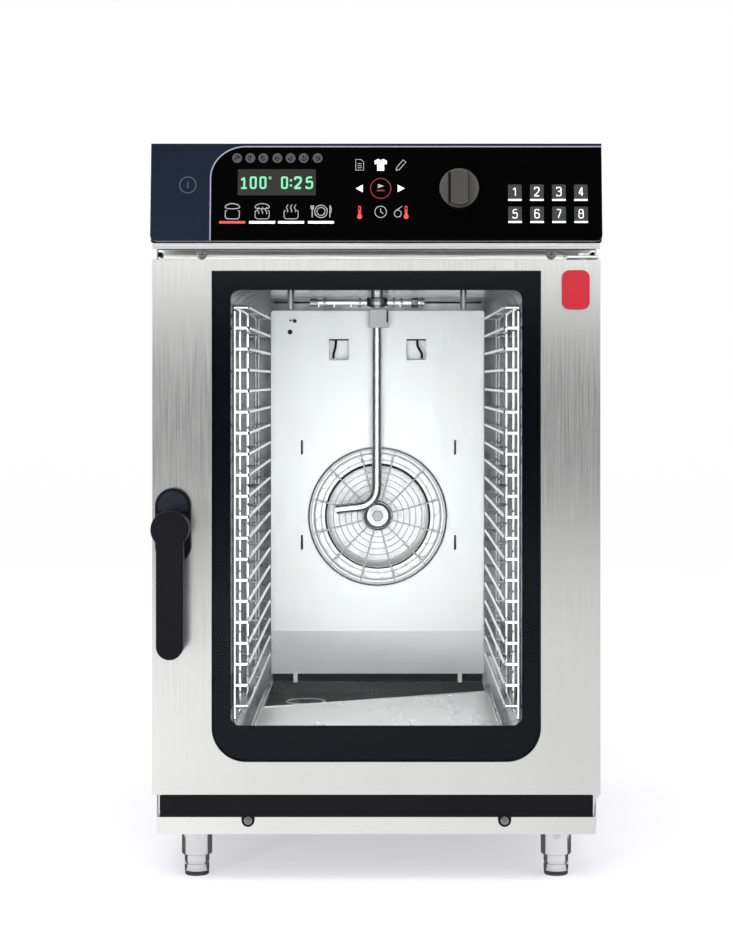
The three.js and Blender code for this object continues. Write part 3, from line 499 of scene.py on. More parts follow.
def pane(name, tint, shine):
    """A thin pane that lets light straight through and mirrors a little."""
    material, tree, out = bare_material(name)
    mix = add_node(tree, "MixShader")
    clear = add_node(tree, "BsdfTransparent", Color=(*tint, 1))
    mirror = add_node(tree, "BsdfGlossy", Roughness=0.02, Color=(shine, shine, shine, 1))
    fresnel = add_node(tree, "Fresnel", IOR=1.45)
    connect(
        tree, (fresnel, "Fac", mix, "Fac"), (clear, "BSDF", mix, 1), (mirror, "BSDF", mix, 2),
        (mix, "Shader", out, "Surface"),
    )
    return material


# How fine the drawn grain is along x, y and z, per metre.
VERTICAL = (1500, 1500, 14)
ACROSS = (14, 1500, 1500)
STEEL = brushed("steel_vertical", 0.66, 0.18, VERTICAL, 0.12, 0.9)
STEEL_ACROSS = brushed("steel_across", 0.78, 0.24, ACROSS)
STEEL_SIDE = brushed("steel_side", 0.58, 0.34, (1500, 14, 1500))
FRAME_STEEL = brushed("frame_steel", 0.78, 0.13, ACROSS)
# The chamber's sheet is painted dark with light upright streaks: painted shade and painted reflections of the
# racks.
CHAMBER = reflection_streaked("chamber_sheet", 0.05, 0.42, 0.15)
CHAMBER_FLOOR = brushed("chamber_floor", 0.95, 0.30, (30, 8, 30), 0.02, 0.6)
# The sump's sheet is painted near black: painted shade for the deep well.
SUMP = brushed("sump_painted_shade", 0.06, 0.30, (30, 8, 30), 0.02)
BAFFLE = brushed("baffle_sheet", 0.93, 0.46, (900, 900, 30), 0.05, 0.5)
FAN_SHEET = brushed("fan_sheet", 0.56, 0.33, (200, 200, 200), 0.05)
SATIN = brushed("satin_wire", 0.90, 0.45, (200, 200, 200), 0.05, 0.4)
BRIGHT = polished("bright_steel", 0.74, 0.14)
TUBE = polished("tube_steel", 0.86, 0.10)
DARK_STEEL = polished("dark_steel", 0.22, 0.22)
FOOT_STEEL = polished("foot_steel", 0.62, 0.10)
WIRE = polished("wire_steel", 0.68, 0.12)
ZINC = brushed("zinc_sheet", 0.50, 0.45, (60, 60, 60), 0.1)
BLACK = moulded("black_plastic", (0.0035, 0.0035, 0.0055), 0.42, Specular_IOR_Level=0.12)
BOSS = moulded("boss_plastic", (0.009, 0.011, 0.017), 0.42, Specular_IOR_Level=0.2)
TROUGH = moulded("trough_plastic", (0.0035, 0.0035, 0.0045), 0.38, Specular_IOR_Level=0.12)
GREY = moulded("grey_plastic", (0.55, 0.55, 0.55), 0.5)
PALE = moulded("pale_plastic", (0.80, 0.80, 0.79), 0.5)
KNOB = moulded("knob_plastic", (0.046, 0.045, 0.042), 0.36)
GRIP = moulded("grip_plastic", (0.034, 0.033, 0.030), 0.36)
RUBBER = moulded("seal_rubber", (0.02, 0.02, 0.02), 0.7)
ENAMEL = glossy_panel("red_enamel", (0.36, 0.009, 0.020), 0.2, 0.3, 0.1)
FIELD = glossy_panel("fascia_field", (0.0008, 0.0008, 0.0009), 0.06, 0.2, 0.0)
NAVY = glossy_panel("fascia_navy", (0.0085, 0.0125, 0.022), 0.06, 0.3, 0.1)
BORDER = glossy_panel("door_print", (0.0045, 0.0050, 0.0090), 0.08, 0.05, 0.0)
SILVER = printed("silver_ink", (0.22, 0.22, 0.28), 0.3)
WHITE_INK = printed("white_ink", (0.80, 0.80, 0.80), 0.4, 0.15)
GREY_INK = printed("grey_ink", (0.27, 0.27, 0.27), 0.4)
DIM_INK = printed("dim_ink", (0.042, 0.042, 0.042), 0.4)
FAINT_INK = printed("faint_ink", (0.035, 0.045, 0.065), 0.4)
RED_INK = printed("red_ink", (0.56, 0.045, 0.04), 0.4, 0.15)
RING_INK = printed("ring_ink", (0.15, 0.006, 0.014), 0.4)
SCREEN = printed("screen_window", (0.018, 0.017, 0.016), 0.25)
FIGURES = printed("screen_figures", (0.12, 0.44, 0.24), 0.4, 0.28)
KEY = printed("key_face", (0.026, 0.026, 0.027), 0.35)
CLEAR = pane("door_pane", (0.96, 0.975, 0.98), 0.12)
CLEAR_INNER = pane("inner_pane", (0.985, 0.99, 0.99), 0.15)
WOOL = moulded("mineral_wool", (0.50, 0.42, 0.25), 0.9, 220.0, 0.9)
CIRCUIT = moulded("circuit_board", (0.02, 0.16, 0.06), 0.5)
MOTOR = moulded("motor_casting", (0.10, 0.105, 0.11), 0.5, 500.0, 0.5)


# ---- Casing ----

CASING_HALF = span("top_panel")[1].x
ROOF = span("top_panel")[1].z
REAR_SHEET = span("rear_panel")[1].y


def screw_head(centre, radius, height, face, slot_width=0.8):
    """A domed cross-head screw that faces the front, with its head's back at face."""
    x, z = centre
    dome = [(0, -height), (radius * 0.5, -height * 0.97)]
    dome += [(radius * 0.86, -height * 0.7), (radius, -height * 0.25)]
    head = lathe(dome + [(radius, 0), (0, 0)], "y", (x, face, z), 24)
    half = radius * 0.55
    bar = slot_width / 2
    low, high = face - height * 1.02, face - height * 0.9
    cross = joined(
        slab((x - half, x + half), (low, high), (z - bar, z + bar), 0.05, 1),
        slab((x - bar, x + bar), (low, high), (z - half, z + half), 0.05, 1),
    )
    return head, cross


def casing():
    soft = {
        "left_side_panel": (STEEL_SIDE, "brushed_steel", 0.5),
        "right_side_panel": (STEEL_SIDE, "brushed_steel", 0.5),
        "top_panel": (STEEL_SIDE, "brushed_steel", 0.4),
        "base_frame": (STEEL_ACROSS, "brushed_steel", 0.6),
        "front_frame": (FRAME_STEEL, "brushed_steel", 0.5),
        "control_housing": (STEEL_ACROSS, "brushed_steel", 0.5),
        "rear_panel": (ZINC, "zinc_sheet", 0.4),
        "motor_cover": (ZINC, "zinc_sheet", 0.6),
        "hinge_bracket_top": (FRAME_STEEL, "brushed_steel", 0.5),
        "hinge_bracket_bottom": (STEEL_ACROSS, "brushed_steel", 0.5),
        "latch_strike": (BRIGHT, "polished_steel", 0.5),
    }
    for node, (material, slot, bevel) in soft.items():
        fixed("shaped_" + node, softened(node, bevel), material, slot, node)


def rear_fasteners():
    """The screws that hold the rear sheet and the motor's cover."""
    low, high = span("rear_panel")
    rows = [low.z + 9 + (high.z - low.z - 18) * k / 5 for k in range(6)]
    centres = [(x, z) for x in (low.x + 9, high.x - 9) for z in rows]
    centres += [(x, z) for x in (-140, 0, 140) for z in (low.z + 9, high.z - 9)]
    domed = [(0, 1.6), (2.6, 1.4), (3.9, 0.5), (4, 0), (0, 0)]
    turned = [lathe(domed, "y", (x, high.y, z), 16) for x, z in centres]
    fixed("rear_screws", joined(*turned), BRIGHT, "polished_steel")
    low, high = span("motor_cover")
    corners_in = [(x, z) for x in (low.x + 10, high.x - 10) for z in (low.z + 10, high.z - 10)]
    sunk = [(0, 0), (2.6, -0.1), (3.6, -0.5), (4, -1), (0, -1)]
    heads = [lathe(sunk, "y", (x, high.y, z), 16) for x, z in corners_in]
    fixed("cover_screws", joined(*heads), BRIGHT, "polished_steel")


def front_screws():
    for side in ("left", "right"):
        for kind, radius, height in (("trough", 5, 2.0), ("housing", 6, 2.2)):
            node = f"{kind}_screw_{side}"
            low, high = span(node)
            centre = centred(low, high, "y")
            head, cross = screw_head(centre[::2], radius, height, low.y + height)
            rod = [(0, low.y + height), (2, low.y + height), (2, high.y), (0, high.y)]
            shank = lathe(rod, "y", centre, 12)
            finish = SATIN if kind == "housing" else DARK_STEEL
            fixed(node + "_head", joined(head, shank), finish, "polished_steel", node)
            fixed(node + "_cross", cross, DARK_STEEL, "black_plastic")


def corner_blocks():
    """The small black stops that sit between the frame and the control housing, at both ends."""
    low, high = span("front_frame")
    for side in (-1, 1):
        x = sorted((side * (high.x - 1), side * (high.x - 5)))
        block = slab(x, (low.y - 14, low.y - 0.3), (724, 729.5), 1, 3)
        fixed("corner_block_" + ("right" if side > 0 else "left"), block, BLACK, "black_plastic")


def vent():
    low, high = span("vent_pipe")
    radius = (high.x - low.x) / 2
    wall = 2
    profile = [(radius - wall, low.z), (radius, low.z), (radius, high.z - 2.5), (radius - 0.2, high.z - 0.7)]
    profile += [(radius - 0.9, high.z), (radius - wall + 0.4, high.z), (radius - wall, high.z - 0.8)]
    profile.append((radius - wall, low.z))
    tube = lathe(profile, "z", centred(low, high, "z"), 48)
    fixed("vent_tube", tube, BRIGHT, "polished_steel", "vent_pipe")


def connections():
    low, high = span("cable_gland")
    centre = centred(low, high, "y")
    face = REAR_SHEET + 0.3
    nut = plate([circle(centre[::2], 16, 6)], face, 6, 1.2, 2)
    dome = [(6.2, face + 6), (12, face + 6), (12, face + 12), (11, face + 14.5), (8.4, high.y), (6.6, high.y)]
    dome += [(6.2, face + 14), (6.2, low.y), (11.8, low.y), (11.8, face), (6.2, face)]
    collar = lathe(dome, "y", centre, 32)
    fixed("gland_nut", joined(nut, collar), BLACK, "black_plastic", "cable_gland")

    low, high = span("water_valve")
    back = high.y
    valve = slab((low.x, high.x), (low.y, back - 29.5), (low.z, high.z), 2, 3)
    ridges = [(9.2, back - 24), (9.2, back)]
    profile = [(0, back - 30), (12, back - 30), (12, back - 22)]
    for k in range(9):
        start = back - 21 + k * 2.2
        profile += [(11, start), (12, start + 1.1)]
    profile += [(11.2, back - 0.6), (10.6, back)] + ridges[::-1] + [(0, back - 24)]
    tail = lathe(profile, "y", centred(low, high, "y"), 32)
    fixed("inlet_valve", joined(valve, tail), GREY, "grey_plastic", "water_valve")

    low, high = span("drain_pipe")
    x = (low.x + high.x) / 2
    y = low.y + 28
    z = low.z + 18
    rise = wires([bent([(x, y, high.z - 6), (x, y, z), (x, high.y, z)], 26, 10)], 18, sides=6)
    cup = lathe([(18, -12), (28, -12), (28, 0), (26, 0), (26, -10), (18, -10)], "z", (x, y, high.z), 40)
    lip = lathe([(16, -6), (18, -6), (18.3, -5), (18.3, -0.6), (17.8, 0), (16, 0)], "y", (x, high.y, z), 40)
    fixed("drain_elbow", joined(rise, cup, lip), GREY, "grey_plastic", "drain_pipe")


# ---- Controls ----

FASCIA_FOOT = Vector((0, -14, 738.6))
FASCIA_TILT = math.atan2(-FASCIA_FOOT.y, ROOF - FASCIA_FOOT.z)
FASCIA_LENGTH = math.hypot(FASCIA_FOOT.y, ROOF - FASCIA_FOOT.z)
ON_FASCIA = Matrix.Translation(FASCIA_FOOT) @ Matrix.Rotation(-FASCIA_TILT, 4, "X")
FIELD_LEFT = -188.5
CURVE_START = 811
FIELD_TOP = 846.6
FIELD_CORNER = -149
KNOB_X, KNOB_Z = 94.5, 799


def on_fascia(name, mesh, material, *replaced):
    return fixed(name, mesh, material, "fascia_black", *replaced, place=ON_FASCIA)


def up(z):
    """The place along the sloping fascia of a height above the floor."""
    return (z - FASCIA_FOOT.z) / math.cos(FASCIA_TILT)


def field_edge(grow=0.0):
    """The curved edge between the fascia's navy end and its black field, from the foot to the top."""
    rise = up(FIELD_TOP) - up(CURVE_START)
    reach = FIELD_CORNER - FIELD_LEFT
    centre = (FIELD_CORNER, up(CURVE_START))
    bend = arc(centre, reach + grow, 180, 90, 16, (rise + grow) / (reach + grow))
    return [(FIELD_LEFT - grow, 0.6)] + bend


def fascia():
    body = plate([rounded(both(CASING_HALF), (0, FASCIA_LENGTH), 7, 0)], 0.25, 4.75, 0.6, 3)
    on_fascia("fascia_panel", body, NAVY, "fascia_glass")
    right = CASING_HALF - 0.6
    foot = [(right, up(FIELD_TOP))] + arc((right - 6.4, 7), 6.4, 0, -90, 6)
    field = plate([(field_edge() + foot)[::-1]], 0.05, 0.4, 0.08, 1)
    on_fascia("fascia_field", field, FIELD)
    line = strokes([field_edge(0.7) + [(right, up(FIELD_TOP) + 0.7)]], 1.4)
    on_fascia("fascia_line", line, SILVER)


def ring_path(x, z, radius, steps=28):
    return circle((x, z), radius, steps) + [(x + radius, z)]


def pot(x, z, lid=True):
    """A small cooking pot: an open body with round lower corners, and a lid that floats over it."""
    half, height, radius, foot = 8, 9, 3, z - 8.6
    body = [(x - half + 2, foot + height + 0.8), (x - half, foot + height)]
    body += arc((x - half + radius, foot + radius), radius, 180, 270, 6)
    body += arc((x + half - radius, foot + radius), radius, 270, 360, 6)
    body += [(x + half, foot + height), (x + half - 2, foot + height + 0.8)]
    paths = [body]
    if lid:
        middle = (x, z + 4.8)
        paths.append(arc(middle, 8.2, 0, 180, 14, 0.52) + arc(middle, 8.2, 180, 360, 14, 0.22))
    return paths


def steam(x, z, height=6):
    waves = []
    for offset in (-4.5, 0, 4.5):
        waves.append([(x + offset + 0.9 * math.sin(k * 1.3), z + height * k / 6) for k in range(7)])
    return waves


def place_setting(x, z):
    """A plate between a fork and a knife."""
    paths = [ring_path(x, z, 7.2), ring_path(x, z, 4.6)]
    fork, knife = x - 10, x + 10.2
    paths += [[(fork + 1.4 * k, z + 7), (fork + 1.4 * k, z + 3)] for k in (-1, 0, 1)]
    paths += [[(fork - 1.4, z + 3), (fork + 1.4, z + 3)], [(fork, z + 3), (fork, z - 7)]]
    blade = [(knife, z + 7), (knife + 1.4, z + 4), (knife + 1.4, z - 1), (knife, z - 1)]
    paths += [blade, [(knife, z + 7), (knife, z - 7)]]
    return paths


# A figure's strokes as corner points in a box of width 1 and height 1; their corners get rounded.
FIGURE_CORNERS = {
    "0": [[(0.5, 1), (1, 1), (1, 0), (0, 0), (0, 1), (0.5, 1)]],
    "1": [[(0.1, 0.74), (0.62, 1), (0.62, 0)]],
    "2": [[(0, 0.76), (0, 1), (1, 1), (1, 0.58), (0, 0.04), (0, 0), (1, 0)]],
    "3": [[(0, 0.82), (0, 1), (1, 1), (1, 0.54), (0.3, 0.54)],
          [(0.5, 0.54), (1, 0.54), (1, 0), (0, 0), (0, 0.18)]],
    "4": [[(0.74, 0), (0.74, 1), (0.7, 1), (0, 0.28), (1, 0.28)]],
    "5": [[(0.95, 1), (0.1, 1), (0.06, 0.52), (0.5, 0.62), (1, 0.6), (1, 0), (0, 0), (0, 0.18)]],
    "6": [[(0.94, 0.86), (0.9, 1), (0, 1), (0, 0), (1, 0), (1, 0.58), (0.04, 0.58)]],
    "7": [[(0, 1), (1, 1), (0.3, 0)]],
    "8": [[(0.5, 0.54), (0.95, 0.54), (0.95, 1), (0.05, 1), (0.05, 0.54), (0.5, 0.54)],
          [(0.5, 0.54), (1, 0.54), (1, 0), (0, 0), (0, 0.54), (0.5, 0.54)]],
}


def figure(sign, left, foot, width, height):
    """A generic figure's strokes with its box's lower left corner at (left, foot)."""
    paths = []
    for corner_points in FIGURE_CORNERS[sign]:
        placed = [(left + width * x, foot + height * z) for x, z in corner_points]
        paths.append(bent(placed, 0.42 * width, 5))
    return paths


def thermometer_stem(x, z, height=11):
    stem = [(x - 1.1, z - height / 2 + 2), (x - 1.1, z + height / 2)]
    return [stem + arc((x, z + height / 2), 1.1, 180, 0, 6) + [(x + 1.1, z - height / 2 + 2)]]


def filled(outline):
    return plate([outline], -0.1, 0.2, 0.03, 1)


INKS = {
    "white": WHITE_INK, "grey": GREY_INK, "dim": DIM_INK, "dark": FIELD, "faint": FAINT_INK, "red": RED_INK,
    "ring": RING_INK,
}


def key_place(index):
    """The middle of a touch key, in two rows of four."""
    return 158 + 25.1 * (index % 4), up(795.5 - 25.4 * (index // 4))


def marks():
    """Everything printed or lit on the fascia, gathered by ink."""
    inks = {name: [] for name in INKS}

    def draw(ink, paths, width=1.0, lift=0.0):
        inks[ink].append(moved(strokes(paths, width), (0, -lift, 0)))

    def fill(ink, outline, lift=0.0):
        inks[ink].append(moved(filled(outline), (0, -lift, 0)))

    def bar(ink, x, z, half, thick):
        fill(ink, rounded(around(x, half), around(z, thick / 2), 0.3, steps=2))

    power = (-215, up(803))
    draw("faint", [ring_path(*power, 9.3, 40)], 1.5)
    draw("faint", [[(power[0], power[1] - 3.6), (power[0], power[1] + 3.6)]], 1.6)

    for index, x in enumerate((-159, -144, -129, -113, -98, -83, -67)):
        z = up(834)
        fill("dim", circle((x, z), 5.6, 28))
        lean = math.radians(30 + 50 * index)
        across = (3.2 * math.cos(lean), 3.2 * math.sin(lean))
        draw("dark", [[(x - across[0], z - across[1]), (x + across[0], z + across[1])]], 1.2, 0.1)
        draw("dark", [arc((x, z), 2.7, 40 * index, 40 * index + 200, 10)], 1.0, 0.1)

    modes = (-164, -130, -97, -63)
    z = up(772.5)
    draw("grey", pot(modes[0], z), 1.1)
    draw("grey", pot(modes[1], z) + steam(modes[1], z - 3, 8), 1.0)
    draw("grey", pot(modes[2], z, False) + steam(modes[2], z - 1, 9), 1.0)
    draw("grey", place_setting(modes[3], z), 1.1)
    for index, x in enumerate(modes):
        bar("red" if index == 0 else "white", x, up(760), 14.8, 2.8)

    left, middle, right = -19, 5, 28
    z = up(826)
    page = [(left - 4.5, z - 6), (left + 4.5, z - 6), (left + 4.5, z + 3.5), (left + 1.5, z + 6.5)]
    page += [(left - 4.5, z + 6.5), (left - 4.5, z - 6)]
    draw("grey", [page, *[[(left - 2.2, z + dz), (left + 2.2, z + dz)] for dz in (1.6, -0.8, -3.2)]], 0.9)
    coat = [(-4, -6.6), (4, -6.6), (4, 1.6), (6.6, 0.6), (7.2, 4.6), (3.6, 6.8), (1.6, 6.8), (0, 5)]
    coat += [(-1.6, 6.8), (-3.6, 6.8), (-7.2, 4.6), (-6.6, 0.6), (-4, 1.6)]
    fill("white", [(middle + x, z + dz) for x, dz in coat])
    collar = [(middle - 2, z + 6.2), (middle, z + 3.8), (middle + 2, z + 6.2)]
    draw("red", [collar, [(middle, z + 3.8), (middle, z - 1)]], 0.8, 0.1)
    draw("dark", [[(middle - 3.4, z - 1.6), (middle + 3.4, z - 1.6)]], 0.5, 0.1)
    pencil = [(-5.4, -6.4), (-4.6, -2.6), (2.8, 6), (5.8, 3.4), (-1.6, -5.2)]
    draw("grey", [[(right + x, z + dz) for x, dz in pencil + pencil[:1]]], 1.1)
    z = up(799)
    fill("white", [(left - 4.4, z), (left + 3.6, z - 4.3), (left + 3.6, z + 4.3)])
    fill("white", [(right + 4.4, z), (right - 3.6, z + 4.3), (right - 3.6, z - 4.3)])
    draw("ring", [ring_path(middle, z, 11.6, 48)], 1.3)
    fill("ring", rounded(around(middle, 4.4), (z - 3.4, z - 1.6), 0))
    fill("grey", [(middle - 3.2, z + 0.4), (middle + 4, z + 2.8), (middle - 3.2, z + 5.2)])
    z = up(772)
    for x in (left, right + 6):
        fill("red", circle((x, z - 5.5), 2.8, 20), 0.05)
        draw("red", thermometer_stem(x, z), 0.8)
        draw("red", [[(x, z - 5), (x, z + 2)]], 0.9, 0.1)
    draw("grey", [ring_path(middle, z, 6.6), [(middle, z + 4), (middle, z), (middle + 3, z - 2)]])
    draw("grey", [ring_path(right - 3.5, z - 2, 4), [(right - 6.4, z + 1), (right + 1.5, z + 6.5)]])

    for index in range(8):
        x, z = key_place(index)
        draw("white", figure(str(index + 1), x - 2.5, z - 5.2, 5, 9.8), 1.15, 0.2)
        fill("white", rounded(around(x, 7.7), (z - 10.9, z - 8.7), 0.3, steps=2))

    for name, meshes in inks.items():
        on_fascia(f"{name}_marks", joined(*meshes), INKS[name])


def keypad():
    outlines = [rounded(around(x, 7.8), around(z, 8), 1.2, steps=4) for x, z in map(key_place, range(8))]
    keys = [plate([outline], -0.02, 0.3, 0.1, 1) for outline in outlines]
    on_fascia("touch_keys", joined(*keys), KEY)


def display():
    window = plate([rounded((-158, -69), (up(791), up(821)), 1.2, steps=4)], -0.02, 0.3, 0.1, 1)
    on_fascia("display_window", window, SCREEN)
    foot, height, stroke = up(805.5) - 6.2, 12.4, 2.5
    lines = [[(-154.2, foot), (-147.6, foot)]]
    places = {
        "1": [(-154.6, 6.4)],
        "0": [(-143.3, 5.8), (-132.2, 5.8), (-107.6, 5.8)],
        "2": [(-92.6, 6.6)],
        "5": [(-79.8, 6.6)],
    }
    for sign, spots in places.items():
        for left, width in spots:
            lines += figure(sign, left, foot, width, height)
    lit = [moved(strokes(lines, stroke), (0, -0.2, 0))]
    lit.append(moved(strokes([ring_path(-121.2, foot + height - 0.6, 1.3, 14)], 0.9), (0, -0.2, 0)))
    lit += [moved(filled(circle((-97.4, foot + rise), 1.4, 14)), (0, -0.2, 0)) for rise in (3, 9)]
    on_fascia("display_figures", joined(*lit), FIGURES)


def selector_knob():
    radius, rim, sink = 22.6, 20.6, 1.4
    x, z = KNOB_X, up(KNOB_Z)
    profile = [(0, -0.8), (radius, -0.8), (radius, -4.2), (radius - 0.5, -5.2)]
    profile += [(radius - 1.6, -5.8), (0, -5.8)]
    body = lathe(profile, "y", (x, 0, z), 72)
    reach = math.degrees(math.acos(10 / rim))
    outline = arc((x, z - sink), rim, reach, 180 - reach, 12)
    outline += arc((x, z - sink), rim, 180 + reach, 360 - reach, 12)
    grip = plate([outline], -17, 11.6, 1.6, 4)
    # Black strips of painted shade on the disc beside the grip, wider on its left than on its right.
    grip_shades = [slab((x + low, x + high), (-5.95, -5.6), around(z, 18), 0.1, 1)
               for low, high in ((-12.6, -9.6), (9.6, 11))]
    ribs = [slab(around(x + side * 9.2, 0.6), (-17.2, -15.6), around(z, 17), 0.2, 1) for side in (-1, 1)]
    shaft = lathe([(0, -5), (3, -5), (3, 19), (0, 19)], "y", (x, 0, z), 20)
    shapes = {
        "knob_body": (joined(body, shaft), KNOB, "selector_knob"),
        "knob_grip": (joined(grip, *ribs), GRIP),
        "knob_grip_shades": (joined(*grip_shades), BLACK),
    }
    for name, (mesh, material, *replaced) in shapes.items():
        piece(name, mesh, material, "knob", "knob_grey", *replaced, place=ON_FASCIA)


# ---- Door ----

GLASS_LOW, GLASS_HIGH = span("outer_glass")
WINDOW_X = both(167)
WINDOW_Z = (184.5, 683.4)
HANDLE_PIVOT_Z = 412.5
CLIP_X = (-99.5, 101)
CLIP_Z = (663, 689)


def on_door(name, mesh, material, slot, *replaced):
    return piece(name, mesh, material, "door", slot, *replaced)


def door():
    on_door("door_skin", softened("door_shell", 0.9, 3), STEEL, "brushed_steel", "door_shell")
    glass = filling(GLASS_LOW, GLASS_HIGH, [outline_of(GLASS_LOW, GLASS_HIGH, 39, 0.6, 14)], 0.5, 2)
    on_door("door_pane", glass, CLEAR, "door_glass", "outer_glass")
    window = rounded(WINDOW_X, WINDOW_Z, 11, steps=8)
    print_edge = outline_of(GLASS_LOW, GLASS_HIGH, 38.4, 0.4, 14, 0.7)
    border = plate([print_edge, window], GLASS_HIGH.y + 0.25, 0.4, 0.1, 1)
    on_door("door_print", border, BORDER, "fascia_black")
    inside = softened("door_inner_frame", 0.5)
    on_door("door_inside", inside, STEEL, "brushed_steel", "door_inner_frame")
    low, high = span("inner_glass")
    inner = filling(low, high, [outline_of(low, high, 6)], 0.4, 1)
    on_door("door_inner_pane", inner, CLEAR_INNER, "clear_glass", "inner_glass")
    clips = [slab(around(x, 3.8), (low.y - 2, low.y - 1), CLIP_Z, 0.3, 1) for x in CLIP_X]
    on_door("pane_clips", joined(*clips), DARK_STEEL, "brushed_steel")
    ribs = [slab(around(x, 1.2), (low.y - 3, low.y - 2), CLIP_Z, 0.3, 1) for x in CLIP_X]
    on_door("pane_clip_ribs", joined(*ribs), SATIN, "brushed_steel")
    low, high = span("door_gasket")
    loops = [outline_of(low, high, 30, steps=12), outline_of(low, high, 18, steps=12, inset=12)]
    on_door("door_seal", filling(low, high, loops, 3.2, 4), RUBBER, "seal_rubber", "door_gasket")
    low, high = span("door_badge")
    badge = filling(low, high, [outline_of(low, high, 9, steps=10)], 1.7, 5)
    on_door("badge_dome", badge, ENAMEL, "red_enamel", "door_badge")


def handle():
    low, high = span("handle_plate")
    middle = (low.x + high.x) / 2
    half = (high.x - low.x) / 2
    back = filling(low, high, [outline_of(low, high, half - 0.05, steps=14)], 1.6, 4)
    on_door("handle_rose", back, BLACK, "black_plastic", "handle_plate")
    crown, boss_half = high.z - half, half - 3.5
    boss = arc((middle, crown), boss_half, 0, 180, 24)
    boss += [(middle - boss_half, crown - 6), (middle + boss_half, crown - 6)]
    on_door("handle_boss", plate([boss], low.y - 1.5, 3, 0.9, 3), BOSS, "black_plastic")

    low, high = span("handle_lever")
    pivot = (middle, HANDLE_PIVOT_Z)
    radius, grip_half = 21.4, 15.2
    turn = math.degrees(math.acos(grip_half / radius))
    outline = arc((middle, low.z + grip_half), grip_half, 180, 360, 20)
    outline += arc(pivot, radius, -turn, 180 + turn, 40)
    grip = plate([outline], low.y, 24, 3, 5)
    profile = [(0, low.y + 20), (radius - 0.6, low.y + 20), (radius - 0.6, high.y - 1.2)]
    profile += [(radius - 1.6, high.y), (0, high.y)]
    neck = lathe(profile, "y", (pivot[0], 0, pivot[1]), 64)
    piece("handle_grip", joined(grip, neck), BLACK, "handle", "black_plastic", "handle_lever")


# ---- Drip trough and feet ----

def trough():
    fixed("trough_body", softened("drip_trough", 0.7, 2), TROUGH, "black_plastic", "drip_trough")


def feet():
    for label in ("front_left", "front_right", "rear_left", "rear_right"):
        low, high = span("foot_sleeve_" + label)
        centre = centred(low, high, "z")
        radius = (high.x - low.x) / 2
        top, foot = high.z, low.z
        profile = [(15.1, top - 3), (15.1, foot), (radius - 1.6, foot), (radius - 0.6, foot + 0.6)]
        profile += [(radius, foot + 2), (radius, top - 8), (radius - 0.5, top - 7.4)]
        profile += [(radius - 0.5, top - 6.8), (radius, top - 6.2), (radius, top - 0.6)]
        profile += [(radius - 0.6, top), (0, top), (0, top - 3)]
        sleeve = lathe(profile, "z", centre, 56)
        fixed("sleeve_" + label, sleeve, FOOT_STEEL, "polished_steel", "foot_sleeve_" + label)
        low, high = span("foot_stem_" + label)
        radius = (high.x - low.x) / 2
        body = [(0, 5), (radius - 0.6, 5), (radius, 5.8), (radius, 13), (radius - 0.9, 13.6)]
        body += [(radius - 0.9, 15), (radius, 15.6), (radius, high.z - 0.5)]
        body += [(radius - 0.5, high.z), (0, high.z)]
        stem = lathe(body, "z", centre, 56)
        piece("stem_" + label, stem, FOOT_STEEL, "foot_" + label, "polished_steel", "foot_stem_" + label)
        pad = [(0, 0), (radius - 1.4, 0), (radius - 0.4, 1), (radius - 0.4, 4.6), (radius - 1, 5.1), (0, 5.1)]
        piece("pad_" + label, lathe(pad, "z", centre, 56), RUBBER, "foot_" + label, "polished_steel")


# ---- Cooking chamber ----

CHAMBER_X = 185
CHAMBER_LOW, CHAMBER_HIGH = 150, 693
CHAMBER_FRONT, CHAMBER_REAR = 62, 676
SHEET = 1.5
CORNER = 27
SUMP_REAR = 645
SUMP_EDGE = [(-150, 380), (150, 528), (150, SUMP_REAR), (-150, SUMP_REAR)]
SUMP_DEPTH = 18
DRAIN = (-100, 560)


def chamber():
    x, low, high = CHAMBER_X, CHAMBER_LOW, CHAMBER_HIGH
    length = CHAMBER_REAR - CHAMBER_FRONT
    floor_half = x - CORNER
    inner = rounded(both(x), (low, high), CORNER, steps=12)
    outer = rounded(both(x + SHEET), (low - SHEET, high + SHEET), CORNER + SHEET, steps=12)
    open_hoop = [(floor_half, low)] + inner
    open_outer = [(floor_half, low - SHEET)] + outer
    hoop = plate([open_hoop[::-1] + open_outer], CHAMBER_FRONT, length, 0.2, 1)
    fixed("chamber_hoop", hoop, CHAMBER, "chamber_steel", "cavity_liner")
    floor_edge = [(-floor_half - 0.5, CHAMBER_FRONT), (floor_half + 0.5, CHAMBER_FRONT)]
    floor_edge += [(floor_half + 0.5, CHAMBER_REAR), (-floor_half - 0.5, CHAMBER_REAR)]
    floor = plate([floor_edge, SUMP_EDGE], low - SHEET, SHEET, 0.3, 2, "up")
    fixed("chamber_floor", floor, CHAMBER_FLOOR, "chamber_steel")
    rear = plate([outer], CHAMBER_REAR, SHEET, 0.2, 1)
    fixed("chamber_rear", rear, CHAMBER, "chamber_steel")
    grown = [(x + math.copysign(SHEET, x), y + (SHEET if y == SUMP_REAR else -SHEET)) for x, y in SUMP_EDGE]
    well = plate([grown, SUMP_EDGE], low - SUMP_DEPTH, SUMP_DEPTH - 0.3, 0.3, 1, "up")
    bottom = plate([grown, circle(DRAIN, 28.8, 40)], low - SUMP_DEPTH - SHEET, SHEET, 0.2, 1, "up")
    fixed("chamber_sump", joined(well, bottom), SUMP, "chamber_steel")


